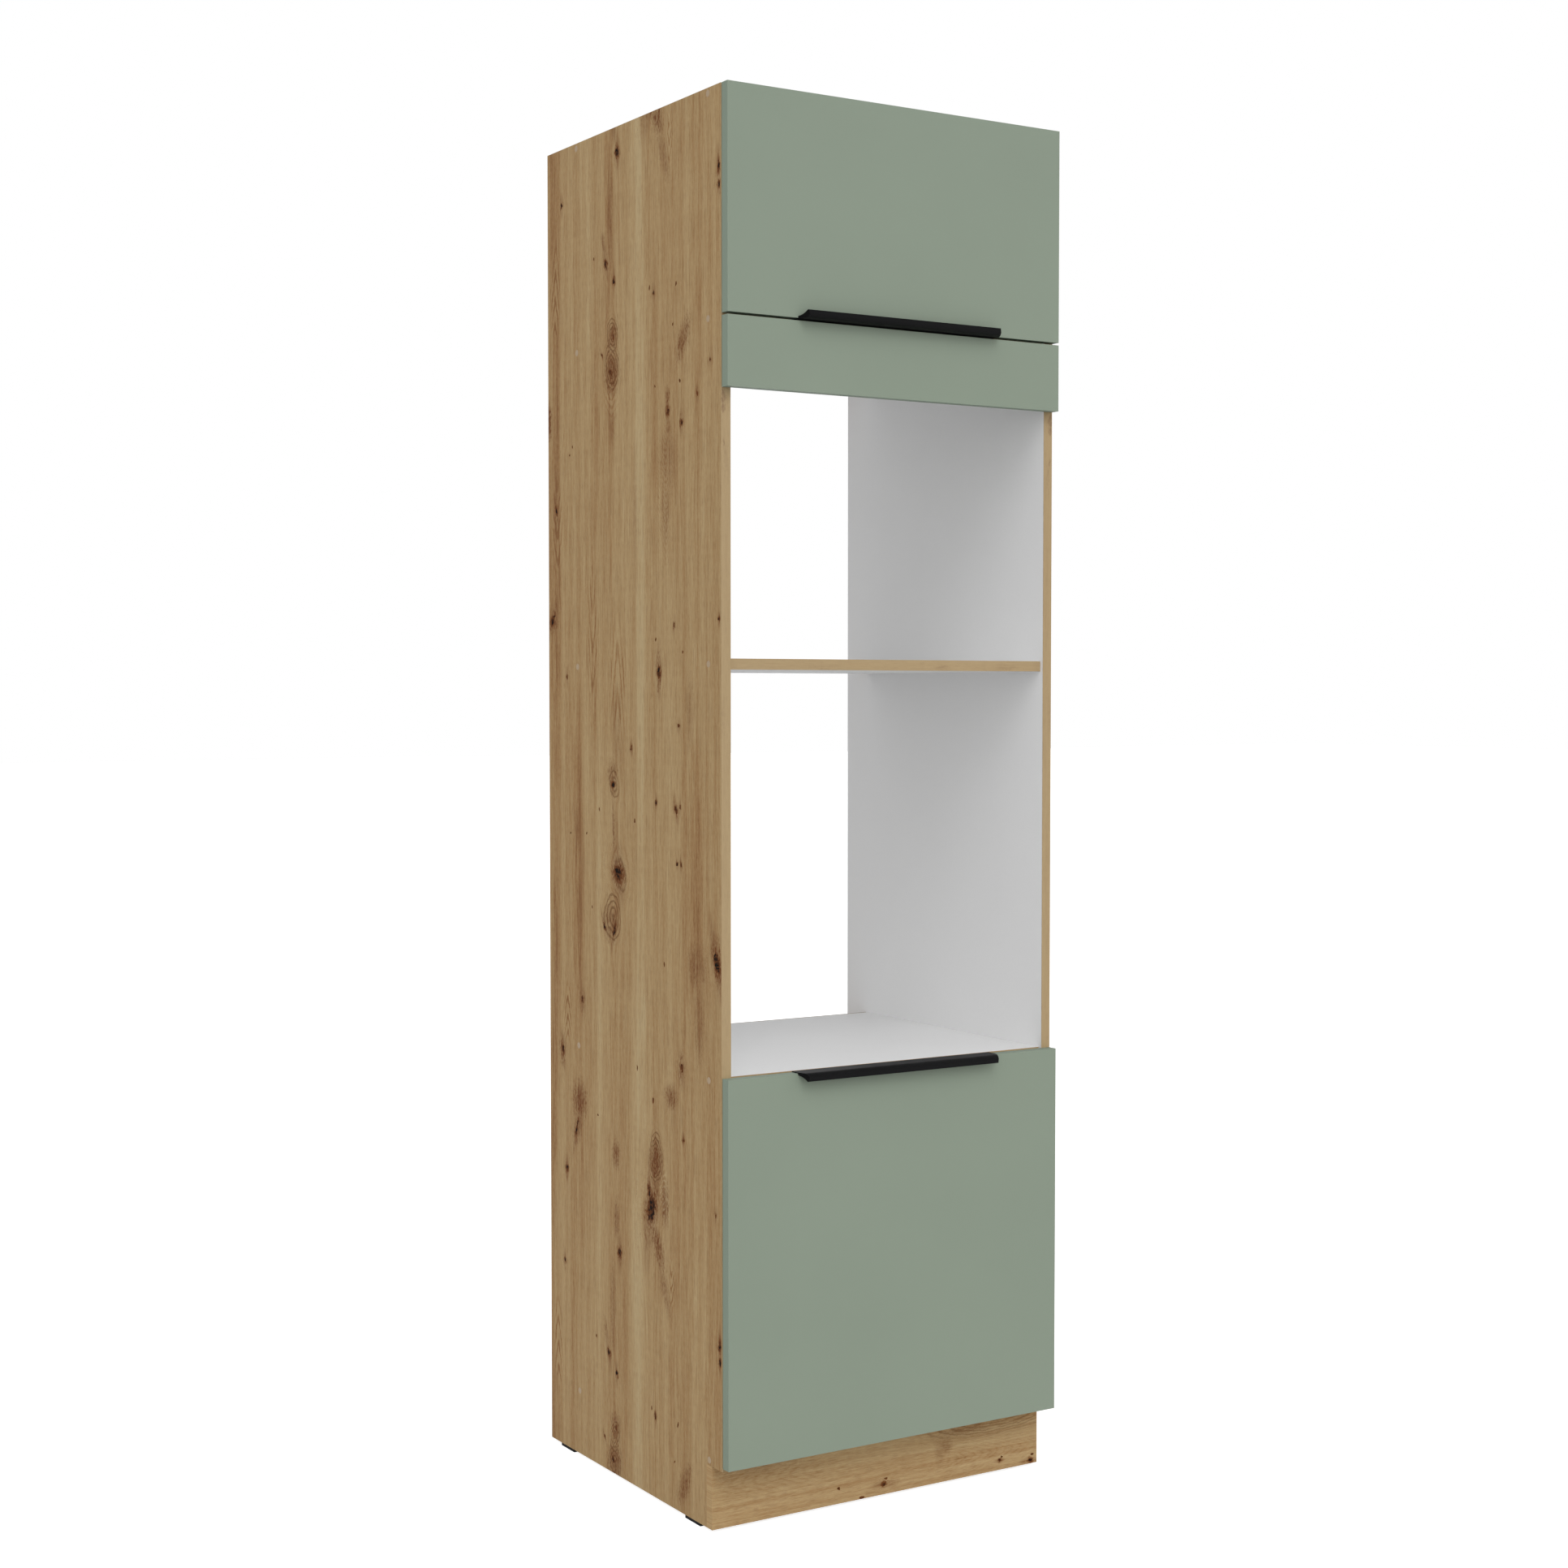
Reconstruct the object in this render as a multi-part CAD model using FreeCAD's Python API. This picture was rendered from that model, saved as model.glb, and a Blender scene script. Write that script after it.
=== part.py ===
import FreeCAD, Part
import math
import os

os.makedirs("parts", exist_ok=True)

Vector = FreeCAD.Vector

# Tall oven cabinet with a lift-up flap, a fixed fascia and a pull-out below. Lengths are in
# millimetres. The pieces are worked out with X to the right from the middle plane, Y to the rear
# from the front edges of the side panels, and Z up from the underside of the side panels.
# Each piece is moved to the part's own frame as it is saved: on the floor, in the middle.

# Boards
board = 16.0
front_board = 16.0
edge_band = 0.8
hardboard = 3.0

# Carcass
carcass_width = 600.0
carcass_depth = 556.0
plinth_height = 94.5
lower_bay_height = 544.8
oven_bay_height = 592.0
microwave_bay_height = 482.7
upper_bay_height = 306.0
shelf_setback = 7.0
rear_channel_depth = 61.0
plinth_recess = 29.0
back_side_gap = 0.5

# Fronts
front_standoff = 1.0
front_side_inset = 1.0
front_joint = 3.8
fascia_height = 102.2
pullout_front_rise = 4.5
pullout_front_drop = 0.5

# Fits
press_clearance = 0.05
running_clearance = 0.05
open_pivot_clearance = 0.4
plate_gap = 0.3
end_clearance = 0.5
overrun = 2.0

# Screws that hold the fittings
screw_radius = 1.75
screw_length = 13.0
screw_tip = 3.0
screw_head_radius = 3.4
screw_head_height = 1.9
block_screw_length = 30.0

# One-piece connectors through the side panels, each with a cover cap
connector_radius = 3.3
connector_length = 46.0
connector_tip = 4.0
connector_head_radius = 4.6
connector_head_height = 3.4
socket_radius = 1.9
socket_depth = 2.6
cap_radius = 5.0
cap_thickness = 1.2
cap_stem_length = 2.0
connector_front = 37.0
connector_rear = 454.0

# Dowels
dowel_radius = 4.0
dowel_length = 35.0
dowel_in_side = 11.5
dowel_front = 101.0
dowel_rear = 390.0

# Nails of the backs
nail_radius = 0.7
nail_length = 20.0
nail_head_radius = 1.7
nail_head_height = 0.6
nails_per_edge = 6
nail_edge_distance = 24.0

# Glides under the side panels
glide_length = 45.0
glide_width = 15.0
glide_height = 5.0
glide_chamfer = 0.4
glide_front = 65.0
glide_rear_inset = 34.5
glide_nail_spacing = 28.0
glide_nail_radius = 1.2
glide_nail_length = 20.0
glide_nail_head_radius = 2.6
glide_nail_head_height = 1.0
glide_nail_sink = 2.0

# Blocks behind the plinth
block_length = 42.0
block_size = 20.0
block_offset = 190.0

# Wall brackets in the rear channel
bracket_steel = 2.0
wall_bracket_height = 40.0
wall_bracket_reach = 30.0
wall_bracket_top_inset = 30.0
wall_hole_radius = 4.0
wall_bracket_screw_spacing = 22.0

# Angle brackets of the fascia and of the pull-out
fascia_bracket_height = 50.0
fascia_bracket_reach = 24.0
fascia_bracket_screw_spacing = 28.0
drawer_bracket_reach = 26.0
drawer_bracket_margin = 14.0
drawer_bracket_screw_inset = 22.0

# Edge handles
handle_length = 360.0
handle_steel = 1.5
handle_reach = 20.0
handle_drop = 12.0
handle_end_slant = 7.5
handle_leg_height = 22.0
handle_screw_spacing = 150.0
handle_corner_radius = 1.0

# Buffers between the carcass and the fronts
bumper_radius = 4.0
bumper_corner_distance = 18.0

# Cup hinges of the flap
hinge_offset = 200.0
cup_radius = 17.4
cup_wall = 1.3
cup_depth = 12.0
cup_edge_distance = 22.5
cup_flange_steel = 1.2
cup_flange_rim = 2.2
cup_wing_length = 30.0
cup_wing_width = 20.0
cup_wing_hole_offset = 24.0
cup_ear_steel = 1.6
cup_ear_half_width = 3.4
hinge_pin_radius = 1.5
crank_half_thickness = 3.0
crank_half_width = 2.8
hinge_link_steel = 1.4
hinge_link_half_width = 3.2
cheek_steel = 1.5
cheek_half_width = 3.8
cup_pin_inward = 5.5
cup_pin_below = 14.0
arm_pin_inward = 8.5
cheek_top_gap = 1.2
hinge_arm_height = 8.0
hinge_arm_front = 20.0
hinge_arm_length = 52.0
hinge_plate_steel = 2.5
hinge_plate_width = 34.0
hinge_plate_front = 26.0
hinge_plate_length = 42.0
hinge_plate_screw_offset = 12.0

# Lift stays of the flap
lift_plate_steel = 2.0
lift_cover_depth = 16.0
lift_cover_wall = 2.0
lift_case_front = 20.0
lift_case_length = 122.0
lift_case_height = 88.0
lift_case_top_inset = 22.0
lift_case_corner = 9.0
lift_shaft_radius = 5.0
lift_shaft_head_radius = 8.0
lift_shaft_head_height = 1.5
lift_arm_steel = 2.5
lift_arm_half_width = 9.0
lift_link_half_width = 6.5
lift_cover_gap = 1.0
lift_pin_radius = 3.0
lift_pin_head_radius = 4.6
lift_pin_head_height = 1.2
lift_pivot_behind = 45.0
lift_pivot_below = 62.0
flap_stud_behind = 8.5
flap_stud_below = 120.0
flap_bracket_height = 60.0
flap_bracket_width = 28.0
flap_lug_half_width = 6.0
flap_bracket_screw_offset = 21.0
flap_bracket_screw_inset = 8.0
lift_spring_radius = 6.5
lift_spring_bore = 4.5
lift_spring_length = 76.0
lift_spring_spacing = 15.0
lift_spring_from_pivot = 15.0
lift_case_screw_inset = 9.0

# Runners of the pull-out
runner_rear_gap = 35.0
runner_front = 10.0
runner_floor_gap = 12.0
runner_steel = 1.5
runner_web_height = 34.0
runner_foot_width = 20.0
runner_lip_height = 8.0
runner_roller_radius = 3.6
middle_outer_gap = 2.5
middle_width = 12.5
middle_height = 10.0
drawer_member_leg = 8.0
drawer_member_inner_leg = 4.0
drawer_member_width = 27.0
runner_screw_height = 26.0
runner_screw_end_inset = 32.0

# Box of the pull-out
drawer_side_gap = 6.0
drawer_side_thickness = 13.0
drawer_side_wall = 1.0
drawer_side_height = 170.0
drawer_rear_gap = 44.0
rail_radius = 5.0
rail_height_above_side = 92.0
rail_holder_radius = 9.0
rail_holder_length = 12.0
rail_post_margin = 8.0
rail_post_steel = 2.0
base_screw_inset = 45.0

# Outline of the handle's lip, as shares of its reach from the front's face (0 at the face, 1 at
# the outermost point) and of its drop (0 at the top of the flange, 1 at the lowest point)
lip_flat_end_shares = (0.45, 0.0)
lip_brow_shares = (0.83, 0.16)
lip_nose_shares = (1.0, 0.44)
lip_edge_shares = (0.915, 0.96)
lip_tip_shares = (0.865, 1.0)
lip_inner_tip_shares = (0.825, 0.985)
lip_hollow_shares = (0.43, 0.535)
lip_root_shares = (0.0, 0.33)


# Levels and planes worked out from the sizes
half_width = carcass_width / 2
inner_half = half_width - board
bottom_z = plinth_height
oven_shelf_z = bottom_z + board + lower_bay_height
middle_shelf_z = oven_shelf_z + board + oven_bay_height
upper_shelf_z = middle_shelf_z + board + microwave_bay_height
top_z = upper_shelf_z + board + upper_bay_height
side_height = top_z + board
panel_levels = (bottom_z, oven_shelf_z, middle_shelf_z, upper_shelf_z, top_z)
shelf_rear = carcass_depth - rear_channel_depth
plinth_rear = plinth_recess + board
runner_length = shelf_rear - runner_front - runner_rear_gap

front_rear_face = -front_standoff
front_face = front_rear_face - front_board
front_half = half_width - front_side_inset
fascia_top = upper_shelf_z + board / 2
fascia_bottom = fascia_top - fascia_height
flap_bottom = fascia_top + front_joint
flap_top = side_height
pullout_front_bottom = bottom_z + pullout_front_rise
pullout_front_top = oven_shelf_z + board - pullout_front_drop

handle_outermost = front_face - handle_reach
middle_of_depth = (carcass_depth + handle_outermost) / 2
to_part_frame = Vector(0, -middle_of_depth, glide_height)


# Helpers for shapes
def box(x_span, y_span, z_span):
    size = [high - low for low, high in (x_span, y_span, z_span)]
    return Part.makeBox(*size, Vector(x_span[0], y_span[0], z_span[0]))


def rod(radius, start, end):
    return Part.makeCylinder(radius, (end - start).Length, start, end - start)


def turned(profile, place, direction):
    """Solid of revolution: (radius, height) corners along the direction, from the place."""
    corners = [Vector(radius, 0, height) for radius, height in profile]
    first = Vector(0, 0, profile[0][1])
    last = Vector(0, 0, profile[-1][1])
    outline = Part.makePolygon([first] + corners + [last, first])
    solid = Part.Face(outline).revolve(Vector(0, 0, 0), Vector(0, 0, 1), 360)
    solid.Placement = FreeCAD.Placement(place, FreeCAD.Rotation(Vector(0, 0, 1), direction))
    return solid


def prism(start, steps, x_span):
    """Outline in (y, z), of lines and three-point arcs, swept along X."""
    edges = []
    here = Vector(x_span[0], *start)
    for step in steps:
        points = [Vector(x_span[0], *point) for point in step]
        if len(points) == 1:
            edges.append(Part.LineSegment(here, points[0]).toShape())
        else:
            edges.append(Part.Arc(here, points[0], points[1]).toShape())
        here = points[-1]
    return Part.Face(Part.Wire(edges)).extrude(Vector(x_span[1] - x_span[0], 0, 0))


def lever(start, end, half, x_span):
    """Flat bar with round ends between two (y, z) points."""
    run = (end[0] - start[0], end[1] - start[1])
    length = math.hypot(*run)
    along = (half * run[0] / length, half * run[1] / length)
    across = (-along[1], along[0])

    def near(point, *offsets):
        return tuple(point[i] + sum(offset[i] for offset in offsets) for i in (0, 1))

    def minus(pair):
        return (-pair[0], -pair[1])

    steps = [
        (near(end, across),),
        (near(end, along), near(end, minus(across))),
        (near(start, minus(across)),),
        (near(start, minus(along)), near(start, across)),
    ]
    return prism(near(start, across), steps, x_span)


def pin(point, radius, x_span):
    return rod(radius, Vector(x_span[0], *point), Vector(x_span[1], *point))


def mirrored(shape):
    return shape.mirror(Vector(0, 0, 0), Vector(1, 0, 0))


def pair(shapes):
    """The shapes given for the left, and their mirror images on the right."""
    return list(shapes) + [mirrored(shape) for shape in shapes]


def meets(shape, other):
    return shape.BoundBox.intersect(other.BoundBox)


def drilled(shape, holes):
    near_holes = [hole for hole in holes if meets(shape, hole)]
    return shape.cut(near_holes) if near_holes else shape


def save(name, shapes):
    solids = [solid for shape in shapes for solid in shape.Solids]
    whole = solids[0] if len(solids) == 1 else Part.makeCompound(solids)
    moved = whole.translated(to_part_frame)
    moved.exportStep("parts/" + name + ".step")
    bad = [solid for solid in solids if not solid.isValid() or solid.Volume <= 0]
    print(name, len(solids), "solids", len(bad), "bad", round(sum(s.Volume for s in solids)))


# Fasteners: each is (place of the head's seat, direction into the wood, length)
def screw(place, direction, length=screw_length):
    profile = [
        (screw_head_radius, -screw_head_height),
        (screw_head_radius, 0),
        (screw_radius, 0),
        (screw_radius, length - screw_tip),
        (0, length),
    ]
    return turned(profile, place, direction)


def screw_hole(place, direction, length=screw_length):
    radius = screw_radius + press_clearance
    depth = length + end_clearance
    return rod(radius, place - direction * overrun, place + direction * depth)


to_left = Vector(-1, 0, 0)
to_right = Vector(1, 0, 0)
to_front = Vector(0, -1, 0)
to_rear = Vector(0, 1, 0)
upward = Vector(0, 0, 1)
downward = Vector(0, 0, -1)


def connector_places():
    return [
        Vector(-half_width, depth, level + board / 2)
        for level in panel_levels
        for depth in (connector_front, connector_rear)
    ]


def connector(place):
    start = cap_thickness + press_clearance
    head_end = start + connector_head_height
    end = head_end + connector_length
    profile = [
        (socket_radius, start + socket_depth),
        (socket_radius, start),
        (connector_head_radius, start),
        (connector_head_radius, head_end),
        (connector_radius, head_end),
        (connector_radius, end - connector_tip),
        (0, end),
    ]
    return turned(profile, place, to_right)


def connector_hole(place):
    head_end = cap_thickness + press_clearance + connector_head_height + press_clearance
    end = head_end + connector_length + end_clearance
    profile = [
        (cap_radius + press_clearance, -overrun),
        (cap_radius + press_clearance, head_end),
        (connector_radius + press_clearance, head_end),
        (connector_radius + press_clearance, end),
    ]
    return turned(profile, place, to_right)


def cap(place):
    profile = [
        (cap_radius, 0),
        (cap_radius, cap_thickness),
        (socket_radius - press_clearance, cap_thickness),
        (socket_radius - press_clearance, cap_thickness + cap_stem_length),
    ]
    return turned(profile, place, to_right)


def dowel_places():
    return [
        Vector(-inner_half - dowel_in_side, depth, level + board / 2)
        for level in panel_levels
        for depth in (dowel_front, dowel_rear)
    ]


def dowel(place):
    return rod(dowel_radius, place, place + to_right * dowel_length)


def dowel_hole(place):
    start = place - to_right * end_clearance
    end = place + to_right * (dowel_length + end_clearance)
    return rod(dowel_radius + press_clearance, start, end)


def nail_rows(levels):
    run = 2 * (inner_half - nail_edge_distance)
    step = run / (nails_per_edge - 1)
    return [
        Vector(-run / 2 + i * step, shelf_rear + hardboard, level + board / 2)
        for level in levels
        for i in range(nails_per_edge)
    ]


def nail(place):
    profile = [
        (nail_head_radius, -nail_head_height),
        (nail_head_radius, 0),
        (nail_radius, 0),
        (nail_radius, nail_length - nail_radius),
        (0, nail_length),
    ]
    return turned(profile, place, to_front)


def nail_hole(place):
    end = place + to_front * (nail_length + end_clearance)
    return rod(nail_radius + press_clearance, place + to_rear * overrun, end)


# Glides: black strips nailed under the side panels, front and rear
glide_starts = (glide_front, carcass_depth - glide_rear_inset - glide_length)
glide_x = -half_width + board / 2


def glide(start):
    x_span = (glide_x - glide_width / 2, glide_x + glide_width / 2)
    body = box(x_span, (start, start + glide_length), (-glide_height, 0))
    lowest = [edge for edge in body.Edges if edge.BoundBox.ZMax < -glide_height / 2]
    return body.makeChamfer(glide_chamfer, lowest)


def glide_nail_places(start):
    middle = start + glide_length / 2
    offset = glide_nail_spacing / 2
    return [
        Vector(glide_x, middle + side * offset, -glide_height + glide_nail_sink)
        for side in (-1, 1)
    ]


def glide_nail(place):
    profile = [
        (glide_nail_head_radius, 0),
        (glide_nail_head_radius, glide_nail_head_height),
        (glide_nail_radius, glide_nail_head_height),
        (glide_nail_radius, glide_nail_length - glide_nail_radius),
        (0, glide_nail_length),
    ]
    return turned(profile, place, upward)


def glide_nail_hole(place):
    head = glide_nail_head_height + press_clearance
    profile = [
        (glide_nail_head_radius + press_clearance, -glide_nail_sink - overrun),
        (glide_nail_head_radius + press_clearance, head),
        (glide_nail_radius + press_clearance, head),
        (glide_nail_radius + press_clearance, glide_nail_length + end_clearance),
    ]
    return turned(profile, place, upward)


# Angle brackets: a leg on a face across X and a leg on a face across Y
def angle(x_wall, x_way, y_wall, y_way, reach_x, reach_y, z_span):
    """Bracket in the corner of two walls, with each leg running the way given."""
    def span(start, way, length):
        return (start, start + length) if way > 0 else (start - length, start)

    leg_on_x = box(span(x_wall, x_way, bracket_steel), span(y_wall, y_way, reach_y), z_span)
    leg_on_y = box(span(x_wall, x_way, reach_x), span(y_wall, y_way, bracket_steel), z_span)
    return leg_on_x.fuse(leg_on_y).removeSplitter()


wall_bracket_top = side_height - wall_bracket_top_inset
wall_bracket_z = (wall_bracket_top - wall_bracket_height, wall_bracket_top)
wall_bracket_middle = wall_bracket_top - wall_bracket_height / 2
wall_hole_x = -inner_half + bracket_steel + (wall_bracket_reach - bracket_steel) / 2


def wall_bracket():
    plain = angle(-inner_half, 1, carcass_depth, -1, wall_bracket_reach, wall_bracket_reach,
                  wall_bracket_z)
    start = Vector(wall_hole_x, carcass_depth - bracket_steel - overrun, wall_bracket_middle)
    return plain.cut(rod(wall_hole_radius, start, start + to_rear * (bracket_steel + 2 * overrun)))


def wall_bracket_screws():
    y = carcass_depth - wall_bracket_reach / 2 - bracket_steel / 2
    offset = wall_bracket_screw_spacing / 2
    x = -inner_half + bracket_steel
    return [(Vector(x, y, wall_bracket_middle + side * offset), to_left) for side in (-1, 1)]


fascia_middle = (fascia_top + fascia_bottom - board / 2) / 2
fascia_bracket_z = (fascia_middle - fascia_bracket_height / 2,
                    fascia_middle + fascia_bracket_height / 2)


def fascia_bracket():
    return angle(-inner_half, 1, front_rear_face, 1, fascia_bracket_reach, fascia_bracket_reach,
                 fascia_bracket_z)


def fascia_bracket_screws():
    offset = fascia_bracket_screw_spacing / 2
    leg_middle = (fascia_bracket_reach + bracket_steel) / 2
    places = []
    for side in (-1, 1):
        z = fascia_middle + side * offset
        on_side = Vector(-inner_half + bracket_steel, front_rear_face + leg_middle, z)
        on_front = Vector(-inner_half + leg_middle, front_rear_face + bracket_steel, z)
        places += [(on_side, to_left), (on_front, to_front)]
    return places


# Plinth blocks: each is screwed up into the bottom panel and forward into the plinth
def plinth_block():
    x_span = (-block_offset - block_length / 2, -block_offset + block_length / 2)
    return box(x_span, (plinth_rear, plinth_rear + block_size),
               (plinth_height - block_size, plinth_height))


def plinth_block_screws():
    quarter = block_length / 4
    middle = plinth_height - block_size / 2
    rising = Vector(-block_offset - quarter, plinth_rear + block_size / 2,
                    plinth_height - block_size)
    forward = Vector(-block_offset + quarter, plinth_rear + block_size, middle)
    return [(rising, upward, block_screw_length), (forward, to_front, block_screw_length)]


# Handle: a folded strip over the front's edge, with a leg behind it and a lip before it.
# The section is worked out for a top edge, and turned over for the flap's bottom edge.
def handle_section(edge_z, way):
    top = edge_z + way * handle_steel

    def lip(shares):
        return (front_face - shares[0] * handle_reach, top - way * shares[1] * handle_drop)

    leg_rear = front_rear_face + handle_steel
    leg_end = top - way * handle_leg_height
    corner = handle_corner_radius
    bend = corner * (1 - math.sqrt(0.5))
    steps = [
        ((leg_rear, top - way * corner),),
        ((leg_rear - bend, top - way * bend), (leg_rear - corner, top)),
        (lip(lip_flat_end_shares),),
        (lip(lip_brow_shares), lip(lip_nose_shares)),
        (lip(lip_edge_shares),),
        (lip(lip_tip_shares), lip(lip_inner_tip_shares)),
        (lip(lip_hollow_shares), lip(lip_root_shares)),
        ((front_face, edge_z),),
        ((front_rear_face, edge_z),),
        ((front_rear_face, leg_end),),
        ((leg_rear, leg_end),),
    ]
    half = handle_length / 2
    return prism((leg_rear, leg_end), steps, (-half, half))


def handle(edge_z, way):
    half = handle_length / 2
    beyond = handle_reach + overrun
    slant = handle_end_slant * beyond / handle_reach
    outline = [
        Vector(-half, carcass_depth, 0),
        Vector(-half, front_face, 0),
        Vector(-half + slant, front_face - beyond, 0),
        Vector(half - slant, front_face - beyond, 0),
        Vector(half, front_face, 0),
        Vector(half, carcass_depth, 0),
    ]
    plan = Part.Face(Part.makePolygon(outline + outline[:1]))
    return handle_section(edge_z, way).common(plan.extrude(Vector(0, 0, side_height)))


def handle_screws(edge_z, way):
    z = edge_z + way * (handle_steel - handle_leg_height) / 2
    y = front_rear_face + handle_steel
    return [(Vector(i * handle_screw_spacing, y, z), to_front) for i in (-1, 0, 1)]


# Buffers on the front edges of the side panels
def bumper(z):
    x = -half_width + board / 2
    return rod(bumper_radius, Vector(x, front_rear_face, z), Vector(x, 0, z))


bumper_levels = (
    flap_bottom + bumper_corner_distance,
    pullout_front_top - bumper_corner_distance,
    pullout_front_bottom + bumper_corner_distance,
)

# Flap pivot: the line at the top rear corner of the flap, about which the whole flap turns
pivot = ((front_rear_face + 0) / 2, side_height)


def from_pivot(behind, below):
    return (pivot[0] + behind, pivot[1] - below)


# Cup hinge: the crank hangs from the arm and is always parallel to the line from the pivot to
# the pin in the cup, so the link between them keeps its direction through the whole movement
cup_middle = flap_top - cup_edge_distance
arm_pin_below = board + cheek_top_gap + cheek_half_width
cup_pin = from_pivot(-cup_pin_inward, cup_pin_below)
arm_pin = from_pivot(arm_pin_inward, arm_pin_below)
knee_pin = (arm_pin[0] - cup_pin_inward, arm_pin[1] - cup_pin_below)


def at_hinge(shape):
    return shape.translated(Vector(-hinge_offset, 0, 0))


link_inner = crank_half_thickness + plate_gap
link_outer = link_inner + hinge_link_steel
cheek_inner = link_outer + plate_gap
cheek_outer = cheek_inner + cheek_steel


def hinge_cup():
    rear = front_rear_face + cup_flange_steel
    floor = front_rear_face - cup_depth
    shell = rod(cup_radius, Vector(0, floor, cup_middle), Vector(0, rear, cup_middle))
    rim = rod(cup_radius + cup_flange_rim, Vector(0, front_rear_face, cup_middle),
              Vector(0, rear, cup_middle))
    wings = box((-cup_wing_length, cup_wing_length), (front_rear_face, rear),
                (cup_middle - cup_wing_width / 2, cup_middle + cup_wing_width / 2))
    upright = [edge for edge in wings.Edges if edge.BoundBox.YLength > cup_flange_steel / 2]
    wings = wings.makeFillet(cup_wing_width / 4, upright)
    hollow = rod(cup_radius - cup_wall, Vector(0, floor + cup_wall, cup_middle),
                 Vector(0, rear + overrun, cup_middle))
    ears = [ear(side) for side in (-1, 1)]
    cup = shell.fuse([rim, wings]).cut(hollow).fuse(ears)
    return cup.cut(pin(cup_pin, hinge_pin_radius, (-cheek_outer, cheek_outer)))


def ear(side):
    inner = link_outer + plate_gap
    outer = inner + cup_ear_steel
    x_span = (inner, outer) if side > 0 else (-outer, -inner)
    floor = front_rear_face - cup_depth + cup_wall / 2
    return box(x_span, (floor, cup_pin[0] + cup_ear_half_width),
               (cup_pin[1] - cup_ear_half_width, cup_pin[1] + cup_ear_half_width))


def cup_bore():
    floor = front_rear_face - cup_depth - press_clearance
    return rod(cup_radius + press_clearance, Vector(0, floor, cup_middle),
               Vector(0, front_rear_face + overrun, cup_middle))


def cup_screws():
    y = front_rear_face + cup_flange_steel
    return [(Vector(-hinge_offset + side * cup_wing_hole_offset, y, cup_middle), to_front)
            for side in (-1, 1)]


def hinge_pin(point, half_length):
    return pin(point, hinge_pin_radius, (-half_length, half_length))


def hinge_crank():
    bar = lever(arm_pin, knee_pin, crank_half_width, (-crank_half_thickness, crank_half_thickness))
    bore = pin(arm_pin, hinge_pin_radius + running_clearance, (-cheek_outer, cheek_outer))
    seat = pin(knee_pin, hinge_pin_radius, (-cheek_outer, cheek_outer))
    return bar.cut([bore, seat])


def hinge_links():
    plates = []
    for x_span in ((-link_outer, -link_inner), (link_inner, link_outer)):
        plate = lever(knee_pin, cup_pin, hinge_link_half_width, x_span)
        bore = pin(knee_pin, hinge_pin_radius + running_clearance, (-cheek_outer, cheek_outer))
        eye = pin(cup_pin, hinge_pin_radius + open_pivot_clearance, (-cheek_outer, cheek_outer))
        plates.append(plate.cut([bore, eye]))
    return plates


hinge_plate_under = top_z - hinge_plate_steel
hinge_arm_z = (hinge_plate_under - hinge_arm_height, hinge_plate_under)


def hinge_arm():
    body = box((-cheek_outer, cheek_outer), (hinge_arm_front, hinge_arm_front + hinge_arm_length),
               hinge_arm_z)
    heel = (hinge_arm_front + cheek_half_width, hinge_plate_under - hinge_arm_height / 2)
    cheeks = [
        lever(arm_pin, heel, cheek_half_width, x_span)
        for x_span in ((-cheek_outer, -cheek_inner), (cheek_inner, cheek_outer))
    ]
    return body.fuse(cheeks).cut(pin(arm_pin, hinge_pin_radius, (-cheek_outer, cheek_outer)))


def hinge_plate():
    half = hinge_plate_width / 2
    return box((-half, half), (hinge_plate_front, hinge_plate_front + hinge_plate_length),
               (hinge_plate_under, top_z))


def hinge_plate_screws():
    y = hinge_plate_front + hinge_plate_length / 2
    return [(Vector(-hinge_offset + side * hinge_plate_screw_offset, y, hinge_plate_under), upward)
            for side in (-1, 1)]


# Lift stay: the arm is parallel to the line from the flap's pivot to its stud, so the link
# from the arm to the stud also keeps its direction
lift_pivot = from_pivot(lift_pivot_behind, lift_pivot_below)
flap_stud = from_pivot(flap_stud_behind, flap_stud_below)
arm_tip = (lift_pivot[0] + flap_stud_behind, lift_pivot[1] - flap_stud_below)

plate_face = -inner_half + lift_plate_steel
cover_face = plate_face + lift_cover_depth
arm_x = (cover_face + lift_cover_gap, cover_face + lift_cover_gap + lift_arm_steel)
link_x = (arm_x[1] + plate_gap, arm_x[1] + plate_gap + lift_arm_steel)
lug_x = (link_x[1] + plate_gap, link_x[1] + plate_gap + lift_arm_steel)
lift_case_y = (lift_case_front, lift_case_front + lift_case_length)
lift_case_z = (top_z - lift_case_top_inset + board - lift_case_height,
               top_z - lift_case_top_inset + board)


def rounded_plate(x_span, inset=0):
    radius = lift_case_corner - inset
    plate = box(x_span, (lift_case_y[0] + inset, lift_case_y[1] - inset),
                (lift_case_z[0] + inset, lift_case_z[1] - inset))
    corners = [edge for edge in plate.Edges if edge.BoundBox.XLength > (x_span[1] - x_span[0]) / 2]
    return plate.makeFillet(radius, corners)


def lift_base_plate():
    return rounded_plate((-inner_half, plate_face))


def lift_cover():
    hollow = rounded_plate((plate_face - overrun, cover_face - lift_cover_wall), lift_cover_wall)
    hole = pin(lift_pivot, lift_shaft_radius + open_pivot_clearance, (plate_face, arm_x[1]))
    return rounded_plate((plate_face, cover_face)).cut([hollow, hole])


def lift_shaft():
    head_start = arm_x[1] + plate_gap
    profile = [
        (lift_shaft_radius, 0),
        (lift_shaft_radius, head_start - plate_face),
        (lift_shaft_head_radius, head_start - plate_face),
        (lift_shaft_head_radius, head_start + lift_shaft_head_height - plate_face),
    ]
    return turned(profile, Vector(plate_face, *lift_pivot), to_right)


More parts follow.
